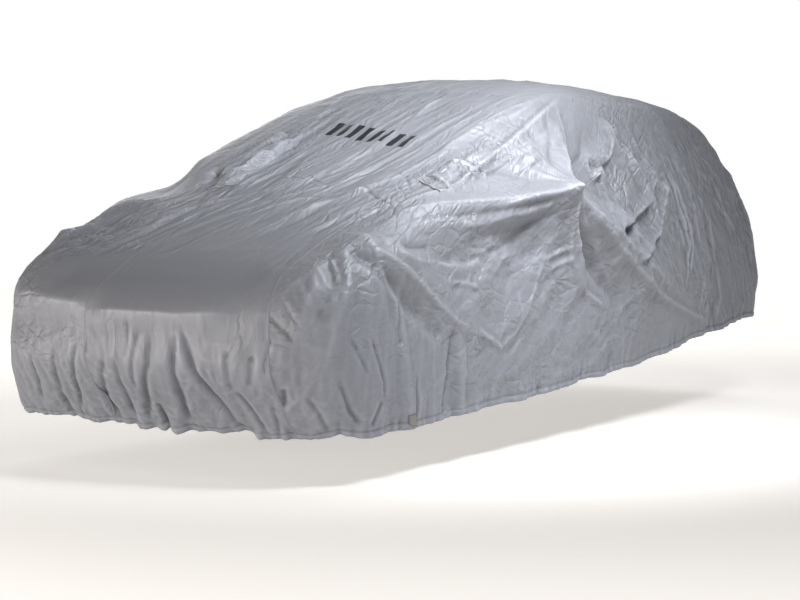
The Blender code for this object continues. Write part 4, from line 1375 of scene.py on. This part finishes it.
# The same cloth with deep creases that run down from the roof; its colour is a shade darker, painted
# shade for the rear, which lies away from the lamps.
SILVER_REAR_PAINTED_SHADE = Surface("silver-coated taffeta, rear", "#797c84", 0.28, 0.60, creases=0.38,
                      stretch=(1.0, 1.9))
# The same cloth, slack and folded small over the mirrors' pouches.
SILVER_POCKET = Surface("silver-coated taffeta, pockets", "#80838b", 0.30, 0.60, creases=0.30,
                        crease_size=40 * MM)
# Folded twice and sewn flat: the same grey without creases.
SEAM_CLOTH = Surface("silver-coated taffeta, felled seams", "#80838b", 0.30, 0.60)
# An uncoated weave: warm, dull and even beside the silver.
PATCH_CLOTH = Surface("matt woven polyester patch", "#787570", 0.0, 0.8)
# Ink pressed through a screen: nearly black, with the cloth's creases still showing through it.
PRINT_INK = Surface("dark blue-grey screen print on taffeta", "#10121a", 0.0, 0.60, creases=0.20,
                    stretch=(3.6, 0.9))
# A folded cotton-like strip: paler and more even than the coated cloth it edges.
PIPING_CLOTH = Surface("pale bias binding", "#94979e", 0.0, 0.7)
# Spun thread: a dull dotted line in nearly the cloth's own grey.
THREAD = Surface("grey polyester thread", "#868991", 0.0, 0.6)
# The same thread dyed: a dark dotted line round the patch.
DARK_THREAD = Surface("dark polyester thread", "#34322f", 0.0, 0.7)
# Matt white paper with a painted glow of its own, so that the floor stays nearly white under the cover's
# shadow.
PAINTED_GLOW_FLOOR = Surface("matt white paper with a painted glow", "#c8c8c8", 0.0, 0.9, glow=0.56)

GLOW_COLOUR = "#fffaf4"         # of the floor's painted glow
EDGE_GLOW = 1.0                 # strongest painted glow of the floor,
EDGE_GLOW_FROM = 2.6            # which grows from this distance off the middle
EDGE_GLOW_TO = 6.0              # to this one
HOLLOW, CREST = 0.46, 0.54      # how curved a full hollow and a full crest are; 0.5 is flat
HOLLOW_PAINTED_SHADE, CREST_PAINTED_HIGHLIGHT = 0.62, 1.38    # share of the cloth's colour that shows there: painted shade in a hollow, painted highlight on a crest
WAVERS = 9.0                    # bends to a metre in a fine crease's run,
WAVER_REACH = 0.05              # and how far it strays to the side
BARE_SIZE = 0.35                # crease sizes to one bare spot in the pattern of creases
BARE_FROM, BARE_TO = 0.34, 0.58     # noise below which no crease is left, and above which all are


class CreaseSize(NamedTuple):
    """One of the sizes of fine creases, as shares of the surface's own values."""

    size: float
    slope: float        # below 0 the creases are furrows
    width: float        # of half a crease, as a share of its size


CREASE_SIZES = (CreaseSize(1.3, 1.6, 0.16), CreaseSize(0.62, -1.3, 0.22), CreaseSize(0.25, 0.5, 0.5))


class NodeMaterial:
    """A Principled material and the nodes that feed it."""

    def __init__(self, surface: Surface) -> None:
        """Make the material.

        Args:
            surface: its values.
        """
        self.surface = surface
        self.material = bpy.data.materials.new(surface.name)
        self.material.use_nodes = True
        self.tree = self.material.node_tree
        self.shader = self.tree.nodes["Principled BSDF"]
        values = {"Base Color": linear(surface.colour), "Metallic": surface.metallic,
                  "Roughness": surface.roughness, "IOR": surface.ior,
                  "Emission Color": linear(GLOW_COLOUR), "Emission Strength": surface.glow}
        for socket, value in values.items():
            self.shader.inputs[socket].default_value = value
        if surface.creases:
            self.add_creases()
            # painted shade in the hollows and a painted highlight on the crests
            self.add_painted_fold_shade()

    def add_painted_fold_shade(self) -> None:
        """Paint shade into hollows and a highlight onto crests: the cloth's colour is scaled by how
        curved the mesh is.
        """
        curved = add_node(self.tree, "ShaderNodeNewGeometry").outputs["Pointiness"]
        share = add_node(self.tree, "ShaderNodeMapRange", {
            "Value": curved, "From Min": HOLLOW, "From Max": CREST,
            "To Min": HOLLOW_PAINTED_SHADE, "To Max": CREST_PAINTED_HIGHLIGHT})
        # painted shade and painted highlight: the colour scaled down in hollows and up on crests
        fold_painted_colour = add_node(self.tree, "ShaderNodeVectorMath", {
            0: linear(self.surface.colour)[:3], "Scale": share.outputs["Result"]}, operation="SCALE")
        self.tree.links.new(fold_painted_colour.outputs[0], self.shader.inputs["Base Color"])

    def add_painted_edge_glow(self) -> None:
        """Paint a stronger glow into the floor far from the cover."""
        place = add_node(self.tree, "ShaderNodeTexCoord").outputs["Object"]
        flat = add_node(self.tree, "ShaderNodeVectorMath", {0: place, 1: (1.0, 1.0, 0.0)},
                        operation="MULTIPLY")
        away = add_node(self.tree, "ShaderNodeVectorMath", {0: flat.outputs[0]}, operation="LENGTH")
        ramp = add_node(self.tree, "ShaderNodeMapRange", {
            "Value": away.outputs["Value"], "From Min": EDGE_GLOW_FROM, "From Max": EDGE_GLOW_TO,
            "To Min": self.surface.glow, "To Max": EDGE_GLOW}, interpolation_type="SMOOTHSTEP")
        self.tree.links.new(ramp.outputs["Result"], self.shader.inputs["Emission Strength"])

    def creases(self, place: bpy.types.NodeSocket, row: CreaseSize) -> bpy.types.NodeSocket:
        """Thin creases round flat facets.

        Args:
            place: where on the cloth.
            row: their size and shape.

        Returns:
            Their height in metres.
        """
        size = self.surface.crease_size * row.size
        cells = add_node(self.tree, "ShaderNodeTexVoronoi", {
            "Vector": place, "Scale": 1 / size, "Randomness": 1.0},
            feature="DISTANCE_TO_EDGE", voronoi_dimensions="2D")
        flat = add_node(self.tree, "ShaderNodeMath", {
            0: cells.outputs["Distance"], 1: row.width, 2: row.width}, operation="SMOOTH_MIN")
        here = add_node(self.tree, "ShaderNodeTexNoise", {
            "Vector": place, "Scale": BARE_SIZE / size, "Detail": 1.0})
        bare = add_node(self.tree, "ShaderNodeMapRange", {
            "Value": here.outputs["Fac"], "From Min": BARE_FROM, "From Max": BARE_TO})
        deep = add_node(self.tree, "ShaderNodeMath", {
            0: flat.outputs[0], 1: bare.outputs["Result"]}, operation="MULTIPLY")
        height = add_node(self.tree, "ShaderNodeMath", {
            0: deep.outputs[0], 1: size * self.surface.creases * row.slope}, operation="MULTIPLY")
        return height.outputs[0]

    def add_creases(self) -> None:
        """Fine creases of crumpled taffeta in three sizes, deeper where the cloth is crumpled."""
        along, across = self.surface.stretch
        layout = add_node(self.tree, "ShaderNodeUVMap", uv_map="cloth").outputs["UV"]
        drawn = add_node(self.tree, "ShaderNodeMapping", {
            "Vector": layout, "Scale": (1 / along, 1 / across, 1)})
        waver = add_node(self.tree, "ShaderNodeTexNoise", {
            "Vector": layout, "Scale": WAVERS, "Detail": 2.0})
        centred = add_node(self.tree, "ShaderNodeVectorMath", {
            0: waver.outputs["Color"], 1: (0.5, 0.5, 0.5)}, operation="SUBTRACT")
        small = add_node(self.tree, "ShaderNodeVectorMath", {
            0: centred.outputs[0], "Scale": WAVER_REACH}, operation="SCALE")
        place = add_node(self.tree, "ShaderNodeVectorMath", {
            0: drawn.outputs[0], 1: small.outputs[0]}, operation="ADD").outputs[0]
        share = add_node(self.tree, "ShaderNodeAttribute", attribute_name="crinkle").outputs["Fac"]
        height, *others = [self.creases(place, row) for row in CREASE_SIZES]
        for other in others:
            height = add_node(self.tree, "ShaderNodeMath", {0: height, 1: other},
                              operation="ADD").outputs[0]
        shown = add_node(self.tree, "ShaderNodeMath", {0: height, 1: share}, operation="MULTIPLY")
        bump = add_node(self.tree, "ShaderNodeBump", {
            "Height": shown.outputs[0], "Strength": 1.0, "Distance": 1.0})
        self.tree.links.new(bump.outputs["Normal"], self.shader.inputs["Normal"])


# ---------------- pieces
CENTRE_CLOTH = "centre_panel_cloth"


class Sheet(NamedTuple):
    """A finished sheet and its cut."""

    piece: bpy.types.Object
    flat: tuple                 # width and length of the cut cloth
    area: Optional[float]       # its flat area if the cut isn't a rectangle
    rests_on: tuple             # names of the sheets that carry it


class StitchLine(NamedTuple):
    """A line of stitches on the cloth."""

    points: Array
    outward: Array


@dataclass
class CoverMaker:
    """Keeps the cover's materials and makes its pieces known."""

    cloths: dict = field(default_factory=dict)
    sheets: list = field(default_factory=list)
    stitch_lines: list = field(default_factory=list)
    trims: list = field(default_factory=list)      # tapes, bindings and stitches on the panels

    def __post_init__(self) -> None:
        """Mix the materials."""
        surfaces = (SILVER_CENTRE, SILVER_SIDE, SILVER_REAR_PAINTED_SHADE, SILVER_POCKET, SEAM_CLOTH, PATCH_CLOTH,
                    PRINT_INK, PIPING_CLOTH, THREAD, DARK_THREAD)
        self.cloths = {surface: NodeMaterial(surface).material for surface in surfaces}

    def finish_sheet(self, piece: bpy.types.Object, surface: Surface, node: str, flat: tuple,
                     area: Optional[float] = None, rests_on: tuple = (CENTRE_CLOTH,)) -> None:
        """Give a sheet its material and say what it is.

        Args:
            piece: the sheet.
            surface: its finish.
            node: the solid it stands for.
            flat: width and length of the cut cloth.
            area: its flat area if the cut isn't a rectangle.
            rests_on: names of the sheets that carry it.
        """
        piece.data.materials.append(self.cloths[surface])
        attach(piece, "root")
        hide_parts(node)
        self.sheets.append(Sheet(piece, flat, area, rests_on))
        log.info("%s: %d faces, %.2f by %.2f m", piece.name, len(piece.data.polygons), *flat)

    def finish_trim(self, piece: bpy.types.Object, surface: Surface) -> None:
        """Give a tape, a binding or a row of stitches its material and say what it is.

        Args:
            piece: the trim.
            surface: its finish.
        """
        piece.data.materials.append(self.cloths[surface])
        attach(piece, "root")
        self.trims.append(piece)
        log.info("%s: %d faces", piece.name, len(piece.data.polygons))


@dataclass(frozen=True)
class PrintedBars:
    """A plain row of printed bars below the top of the windscreen."""

    start: float = -0.66       # Y of the first bar's upper end
    count: int = 8
    width: int = 4             # in the panel's fine cells of about 8 mm
    pitch: int = 8             # from bar to bar, in the same cells
    first: int = 1             # cell at which the first bar starts
    height: float = 0.13       # down the cloth, in Y
    shift: float = -0.019      # how far forward each bar lies of the one before
    lowest: float = 1.0        # height above the floor below which the cloth isn't the windscreen's

    def mask(self, base: Array) -> Array:
        """Cells of the centre panel that carry ink.

        Args:
            base: the panel's grid of points.

        Returns:
            True for a cell with ink.
        """
        middle = (base[:-1, :-1] + base[1:, 1:]) / 2
        y = middle[..., 1]
        cell = np.arange(y.shape[1]) - self.first
        bar = cell // self.pitch
        inked = (cell >= 0) & (bar < self.count) & (cell % self.pitch < self.width)
        upper = self.start + self.shift * bar
        return inked & (y < upper) & (y > upper - self.height) & (middle[..., 2] > self.lowest)


@dataclass(frozen=True)
class Stitching:
    """Rows of stitches, each a small spindle."""

    pitch: float = 7.5 * MM
    share: float = 0.62        # of the pitch that shows
    radius: float = 0.6 * MM
    rise: float = 1.0 * MM     # of its middle above the cloth

    def row(self, line: Array, outward: Array) -> tuple[Array, Array]:
        """One row of stitches.

        Args:
            line: points on the cloth.
            outward: the way out of it at each.

        Returns:
            Corners and triangles of the stitches.
        """
        length = length_along(line)
        places = np.arange(self.pitch, length[-1] - self.pitch, self.pitch)
        middle, beyond, up = (
            np.stack([np.interp(at, length, values[:, k]) for k in range(3)], -1)
            for at, values in ((places, line), (places + MM, line), (places, outward)))
        ahead = unit(beyond - middle)
        up = unit(up)
        side = np.cross(ahead, up)
        middle = middle + up * self.rise
        half = ahead * self.pitch * self.share / 2
        corners = np.stack([middle - half, middle + half, middle + up * self.radius,
                            middle + side * self.radius, middle - up * self.radius,
                            middle - side * self.radius], 1)
        sides = ((2, 3), (3, 4), (4, 5), (5, 2))    # of the spindle's square middle
        faces = np.array([(0, b, a) for a, b in sides] + [(1, a, b) for a, b in sides])
        starts = np.arange(len(middle))[:, None, None] * corners.shape[1]
        return corners.reshape(-1, 3), (faces[None] + starts).reshape(-1, 3)

    def build(self, name: str, lines: list) -> bpy.types.Object:
        """One mesh of several rows.

        Args:
            name: of the piece.
            lines: the rows, each a StitchLine.

        Returns:
            The piece.
        """
        corners, faces, count = [], [], 0
        for line in lines:
            points, triangles = self.row(line.points, line.outward)
            corners.append(points)
            faces.append(triangles + count)
            count += len(points)
        mesh = bpy.data.meshes.new(name)
        mesh.from_pydata(to_part(np.concatenate(corners)).tolist(), [], np.concatenate(faces).tolist())
        return put_in_scene(name, mesh)


@dataclass(frozen=True)
class SeamTape:
    """A flat felled seam: a narrow raised band along two panels' edges."""

    half_width: float = 6 * MM
    rise: float = 0.9 * MM
    # Its cross-section, as shares of the half-width and of the rise; the edges dip into the cloth.
    profile: tuple = ((-1.0, -0.2), (-0.8, 1.0), (0.0, 1.25), (0.8, 1.0), (1.0, -0.2))
    crinkle: float = 0.3

    def build(self, name: str, edge: Array, inner: Array, outward: Array) -> bpy.types.Object:
        """Lay the band along an edge.

        Args:
            name: of the piece.
            edge: points of the seam.
            inner: the line of points beside it, inside one of the panels.
            outward: the way out of the cloth along the edge.

        Returns:
            The piece.
        """
        across = edge - inner
        across = unit(across - (across * outward).sum(-1, keepdims=True) * outward)
        lines = [edge + across * share * self.half_width + outward * height * self.rise
                 for share, height in self.profile]
        return grid_mesh(name, np.stack(lines, 1), np.full((len(edge), len(lines)), self.crinkle))

    def stitch_line(self, edge: Array, outward: Array) -> StitchLine:
        """The line of stitches along its middle."""
        return StitchLine(edge + self.rise * outward, outward)


@dataclass(frozen=True)
class Binding:
    """A round bound edge."""

    radius: float = 2.8 * MM
    sides: int = 6

    def build(self, name: str, line: Array) -> bpy.types.Object:
        """Sweep the binding along a line of points.

        Args:
            name: of the piece.
            line: the points.

        Returns:
            The piece.
        """
        ahead = unit(np.gradient(line, axis=0))
        side = unit(np.cross(ahead, (0.0, 0.0, 1.0)))
        up = np.cross(side, ahead)
        turn = np.linspace(0, 2 * math.pi, self.sides + 1)[None, :, None]
        ring = side[:, None] * np.cos(turn) + up[:, None] * np.sin(turn)
        return grid_mesh(name, line[:, None] + self.radius * ring, np.zeros(ring.shape[:2]))


@dataclass(frozen=True)
class MirrorPocket:
    """A door mirror's pocket: the cells of the side panel it takes up, and how it lies collapsed."""

    columns: tuple                  # first and end cell along the panel
    rows: tuple                     # and up it
    rise: float                     # of its crest above the panel
    crest: float                    # the crest's place across the pocket, as a share
    slump: float                    # how far the crest strays along the pocket, as a share
    seed: int
    length: float = 0.70            # of the cut cloth
    fullness: float = 0.6           # below 1 the crest stays high up to the pocket's ends
    crumple: float = 8 * MM
    crumples: tuple = (6, 2.2)      # along and across the pocket
    crumple_rims: tuple = (4, 3)    # how fast the crumples grow in from its edges
    binding: Binding = Binding()
    binding_rise: float = 4 * MM

    def collapsed(self, cloth: Cloth) -> Array:
        """Cut the pocket's opening in a side and lay the pouch in it.

        Args:
            cloth: the whole side.

        Returns:
            The pouch's own points; its edge stays on the panel.
        """
        i0, i1 = (k * REFINE for k in self.columns)
        j0, j1 = (int(np.searchsorted(UP_LINES, k)) for k in self.rows)
        cloth.cut[i0:i1, j0:j1] = True
        place = np.s_[i0:i1 + 1, j0:j1 + 1]
        u = np.linspace(0, 1, i1 - i0 + 1)[:, None]
        v = np.linspace(0, 1, j1 - j0 + 1)[None, :]
        crest = self.crest + self.slump * np.cos(math.pi * u)
        across = np.where(v < crest, v / crest, (1 - v) / (1 - crest))
        rise = self.rise * np.sin(math.pi * u) ** self.fullness * np.sin(across * math.pi / 2)
        rims = np.minimum(np.minimum(u, 1 - u) * self.crumple_rims[0],
                          np.minimum(v, 1 - v) * self.crumple_rims[1])
        where = np.stack(np.broadcast_arrays(u * self.crumples[0], v * self.crumples[1], 0 * u), -1)
        crumple = 1 - 2 * np.abs(smooth_noise(where + self.seed, self.seed))
        rise = rise + self.crumple * np.clip(rims, 0, 1) * crumple
        return cloth.points[place] + cloth.outward[place] * rise[..., None]

    def build(self, maker: CoverMaker, side: Side, points: Array) -> None:
        """Build the pocket and its binding.

        Args:
            maker: keeps the pieces.
            side: of the cover.
            points: the pouch, as collapsed gives it.
        """
        node = "mirror_pocket_" + side.word
        piece = grid_mesh(node + "_cloth", points, np.ones(points.shape[:2]), flip=side is Side.RIGHT)
        maker.finish_sheet(piece, SILVER_POCKET, node,
                           (measured_area(points) / self.length, self.length))
        mouth = points[0] + self.binding_rise * ENVELOPE.outward(points[0])
        maker.finish_trim(self.binding.build("pocket_binding_" + side.word, mouth), PIPING_CLOTH)


POCKETS = {
    Side.LEFT: MirrorPocket((12, 21), (13, 15), 0.010, 0.45, 0.10, 61),
    Side.RIGHT: MirrorPocket((10, 18), (13, 15), 0.045, 0.55, -0.10, 62),
}
HEM_STITCH_LINE = 10        # fine line of a panel's grid that the hem's stitches follow


@dataclass(frozen=True)
class CentrePanel:
    """The long strip over bonnet, windscreen, roof and tail."""

    width: float = 0.80                     # of the cut cloth
    bars: PrintedBars = PrintedBars()
    tape: SeamTape = SeamTape()

    def build(self, maker: CoverMaker) -> Array:
        """Build the panel, its seams and its print.

        Args:
            maker: keeps the pieces.

        Returns:
            The panel's grid of points on the taut envelope.
        """
        station, left, right = strip_layout()
        share = np.linspace(0, 1, CELLS_ACROSS * REFINE_ACROSS + 1)
        base = strip_points(station[:, None], right[:, None] + (left - right)[:, None] * share)
        cloth = Cloth.draped(base)
        front_roll = RELIEF.hem.roll(cloth.points[:2], cloth.outward[0])[::-1]
        rear_roll = RELIEF.hem.roll(cloth.points[:-3:-1], cloth.outward[-1])
        points = np.concatenate([front_roll, cloth.points, rear_roll])
        shown = np.pad(cloth.crinkle, ((len(front_roll), len(rear_roll)), (0, 0)), mode="edge")
        piece = grid_mesh(CENTRE_CLOTH, points, shown, flip=True)
        maker.finish_sheet(piece, SILVER_CENTRE, "centre_panel",
                           (self.width, measured_area(cloth.points) / self.width), rests_on=())
        self.print_bars(piece, base, len(front_roll), maker)
        for side, edge, inner in ((Side.LEFT, -1, -3), (Side.RIGHT, 0, 2)):
            seam, outward = cloth.points[:, edge], cloth.outward[:, edge]
            tape = self.tape.build("seam_tape_" + side.word, seam, cloth.points[:, inner], outward)
            maker.finish_trim(tape, SEAM_CLOTH)
            maker.stitch_lines.append(self.tape.stitch_line(seam, outward))
        for line in (HEM_STITCH_LINE, -1 - HEM_STITCH_LINE):
            maker.stitch_lines.append(StitchLine(cloth.points[line], cloth.outward[line]))
        return base

    def print_bars(self, piece: bpy.types.Object, base: Array, first_row: int, maker: CoverMaker) -> None:
        """Ink the cells of the printed bars.

        Args:
            piece: the panel.
            base: its grid of points on the taut envelope.
            first_row: rows of cells that the front hem's roll takes up.
            maker: keeps the materials.
        """
        piece.data.materials.append(maker.cloths[PRINT_INK])
        ink = self.bars.mask(base)
        slots = np.zeros((len(piece.data.polygons) // ink.shape[1], ink.shape[1]), np.int32)
        slots[first_row:first_row + ink.shape[0]][ink] = 1
        piece.data.polygons.foreach_set("material_index", slots.ravel())
        piece.data.update()


@dataclass(frozen=True)
class HemPatch:
    """The small square patch at the hem, with its own row of dark stitches."""

    column: int = 6            # cell of the side panel that it lies on
    inset: int = 1             # fine lines left free at either side
    lower: int = 4             # fine lines from which to which it reaches up
    upper: int = 13
    rise: float = 2.2 * MM     # above the cloth
    size: tuple = (0.060, 0.042)
    crinkle: float = 0.4
    border: float = 0.93       # the stitches' place, as a share of the way from middle to edge
    stitching: Stitching = Stitching(pitch=5 * MM, radius=1.2 * MM)
    least_step: float = 0.01 * MM      # points of the border closer than this are one

    def build(self, maker: CoverMaker, whole: Cloth) -> None:
        """Lay the patch on the left side's cloth.

        Args:
            maker: keeps the pieces.
            whole: the cloth of the left side.
        """
        first, last = self.column * REFINE + self.inset, (self.column + 1) * REFINE - self.inset
        place = np.s_[first:last + 1, self.lower:self.upper + 1]
        outward = whole.outward[place]
        points = whole.points[place] + self.rise * outward
        piece = grid_mesh("hem_patch_cloth", points, np.full(points.shape[:2], self.crinkle))
        maker.finish_sheet(piece, PATCH_CLOTH, "hem_patch", self.size,
                           rests_on=("side_panel_left_cloth",))
        edges = [np.s_[:, 0], np.s_[-1, :], np.s_[::-1, -1], np.s_[0, ::-1]]
        middle = points.mean(axis=(0, 1))
        line = middle + self.border * (np.concatenate([points[edge] for edge in edges]) - middle)
        ways = np.concatenate([outward[edge] for edge in edges])
        keep = np.diff(length_along(line), prepend=-1) > self.least_step
        stitches = self.stitching.build("patch_stitches", [StitchLine(line[keep], ways[keep])])
        maker.finish_trim(stitches, DARK_THREAD)


@dataclass(frozen=True)
class CoverSide:
    """One side of the cover: its side panel, rear panel and mirror pocket."""

    side: Side
    side_length: float = 3.60   # of the cut cloth
    rear_length: float = 1.60
    used_share: float = 0.90    # of the rectangle that a panel is cut from
    tape: SeamTape = SeamTape()

    def build(self, maker: CoverMaker, seam: Array) -> None:
        """Build the side below its seam.

        Args:
            maker: keeps the pieces.
            seam: points of the seam on the taut envelope.
        """
        whole = Cloth.draped(side_grid(seam, self.side))
        pocket = POCKETS[self.side]
        pouch = pocket.collapsed(whole)
        split = COLUMNS_SIDE * REFINE
        self.panel(maker, "side_panel_", whole.part(0, split), SILVER_SIDE,
                   self.side_length)
        self.panel(maker, "rear_panel_", whole.part(split, len(SIDE_LINES) - 1), SILVER_REAR_PAINTED_SHADE,
                   self.rear_length)
        pocket.build(maker, self.side, pouch)
        rear_seam, outward = whole.points[split], whole.outward[split]
        tape = self.tape.build("rear_seam_tape_" + self.side.word, rear_seam, whole.points[split - 2],
                               outward)
        maker.finish_trim(tape, SEAM_CLOTH)
        maker.stitch_lines.append(self.tape.stitch_line(rear_seam, outward))
        hem = np.s_[:, HEM_STITCH_LINE]
        maker.stitch_lines.append(StitchLine(whole.points[hem], whole.outward[hem]))
        if self.side is Side.LEFT:
            HemPatch().build(maker, whole)

    def panel(self, maker: CoverMaker, prefix: str, part: Cloth, surface: Surface,
              length: float) -> None:
        """Build one panel with its rolled hem.

        Args:
            maker: keeps the pieces.
            prefix: of the panel's name.
            part: its cloth.
            surface: its finish.
            length: of the cut cloth.
        """
        roll = RELIEF.hem.roll(part.points[:, :2].swapaxes(0, 1), part.outward[:, 0])[::-1]
        points = np.concatenate([roll.swapaxes(0, 1), part.points], axis=1)
        cut = np.concatenate([np.zeros((part.cut.shape[0], len(roll)), bool), part.cut], axis=1)
        shown = np.pad(part.crinkle, ((0, 0), (len(roll), 0)), mode="edge")
        node = prefix + self.side.word
        piece = grid_mesh(node + "_cloth", points, shown, cut, flip=self.side is Side.RIGHT)
        area = measured_area(part.points, part.cut)
        maker.finish_sheet(piece, surface, node, (area / length / self.used_share, length), area)


@dataclass(frozen=True)
class CarCover:
    """The whole cover."""

    centre: CentrePanel = CentrePanel()
    stitching: Stitching = Stitching()

    def build(self, maker: CoverMaker) -> None:
        """Build every piece of the cover.

        Args:
            maker: keeps the pieces.
        """
        base = self.centre.build(maker)
        CoverSide(Side.LEFT).build(maker, base[:, -1])
        CoverSide(Side.RIGHT).build(maker, base[:, 0])
        stitches = self.stitching.build("seam_stitches", maker.stitch_lines)
        maker.finish_trim(stitches, THREAD)


# ---------------- camera, floor and light
@dataclass(frozen=True)
class PhotoCamera:
    """The photo's camera in the draping frame."""

    place: tuple = (4.92, -8.23, 1.19)
    azimuth: float = 32.0       # degrees
    elevation: float = 3.72
    roll: float = 0.44
    focal: float = 91.3         # millimetres
    sensor: float = 36.0
    reach: float = 60.0         # distance up to which it sees

    def build(self) -> None:
        """Make the camera the scene's own."""
        azimuth, elevation, roll = (math.radians(v) for v in (self.azimuth, self.elevation, self.roll))
        back = Vector(direction(azimuth, elevation))
        right = (-back).cross(Vector((0, 0, 1))).normalized()
        up = right.cross(-back)
        across = right * math.cos(roll) + up * math.sin(roll)
        upright = up * math.cos(roll) - right * math.sin(roll)
        data = bpy.data.cameras.new("photo camera")
        data.lens = self.focal
        data.sensor_width = self.sensor
        data.clip_end = self.reach
        camera = put_in_scene("photo camera", data)
        turned = Matrix((across, upright, back)).transposed().to_4x4()
        turned.translation = Vector(to_part(np.array(self.place)))
        camera.matrix_world = turned
        bpy.context.scene.camera = camera


@dataclass(frozen=True)
class SoftBox:
    """A soft lamp at a place in the draping frame, turned to face a spot on the cover."""

    name: str
    place: tuple
    aim: tuple
    size: tuple
    power: float               # watts
    colour: str = "#ffffff"
    spread: float = 180.0      # degrees

    def build(self) -> None:
        """Place the lamp."""
        data = bpy.data.lights.new(self.name, "AREA")
        data.spread = math.radians(self.spread)
        data.shape = "RECTANGLE"
        data.size, data.size_y = self.size
        data.energy = self.power
        data.color = linear(self.colour)[:3]
        lamp = put_in_scene(self.name, data)
        lamp.location = Vector(to_part(np.array(self.place)))
        away = lamp.location - Vector(to_part(np.array(self.aim)))
        lamp.rotation_euler = away.to_track_quat("Z", "Y").to_euler()


SOFT_BOXES = (
    SoftBox("over the left mirror", (2.35, -1.2, 3.3), (0.62, -0.52, 1.15), (1.0, 1.0), 50, spread=84),
    SoftBox("over the windscreen", (0.5, -0.7, 3.8), (0.4, -0.3, 1.4), (1.2, 1.2), 22),
    SoftBox("low, left of the nose", (4.5, -5.5, 0.9), (0.8, -2.0, 0.35), (1.6, 1.6), 5, spread=50),
    SoftBox("behind, over the roof", (0.0, 3.5, 4.2), (0.0, 0.0, 1.2), (4.0, 2.0), 40),
    SoftBox("behind, far side", (-4.0, 3.5, 2.6), (0.0, 0.0, 1.2), (3.0, 2.0), 140),
    SoftBox("low, before the nose", (-2.5, -6.5, 0.9), (0.0, -2.2, 0.5), (4.0, 1.2), 185, "#fff3e6"),
)

@dataclass(frozen=True)
class Surroundings:
    """Light from all round: a white band low down, which the camera sees, and dimmer above."""

    colour: str = "#ffffff"
    low: float = 1.0
    high: float = 0.05
    band_top: float = 0.085     # sine of the band's elevation
    band_edge: float = 0.06

    def build(self) -> None:
        """Make the world."""
        world = bpy.data.worlds.new("surroundings")
        world.use_nodes = True
        tree = world.node_tree
        background = tree.nodes["Background"]
        place = add_node(tree, "ShaderNodeTexCoord").outputs["Generated"]
        split = add_node(tree, "ShaderNodeSeparateXYZ", {"Vector": place})
        fade = add_node(tree, "ShaderNodeMapRange", {
            "Value": split.outputs["Z"], "From Min": self.band_top,
            "From Max": self.band_top + self.band_edge, "To Min": self.low, "To Max": self.high})
        tree.links.new(fade.outputs["Result"], background.inputs["Strength"])
        background.inputs["Color"].default_value = linear(self.colour)
        bpy.context.scene.world = world


@dataclass(frozen=True)
class Studio:
    """Floor, light and camera."""

    left: float = -9.0          # the floor's edges, in the part's frame
    right: float = 9.0
    front: float = -12.0
    back: float = 7.0

    def build_floor(self) -> None:
        """Lay the floor."""
        low = -ORIGIN_IN_DRAPE[2]
        corners = [(self.left, self.front, low), (self.right, self.front, low),
                   (self.right, self.back, low), (self.left, self.back, low)]
        mesh = bpy.data.meshes.new("floor")
        mesh.from_pydata(corners, [], [(0, 1, 2, 3)])
        paper = NodeMaterial(PAINTED_GLOW_FLOOR)
        # painted glow in the floor, stronger far from the cover
        paper.add_painted_edge_glow()
        mesh.materials.append(paper.material)
        floor = put_in_scene("floor", mesh)

    def build(self) -> None:
        """Set up the studio."""
        PhotoCamera().build()
        for box in SOFT_BOXES:
            box.build()
        Surroundings().build()
        self.build_floor()
        view = bpy.context.scene.view_settings
        view.view_transform = "Standard"
        view.look = "None"


def main() -> None:
    """Build the cover and the studio."""
    CarCover().build(CoverMaker())
    Studio().build()


if __name__ == "__main__":
    main()
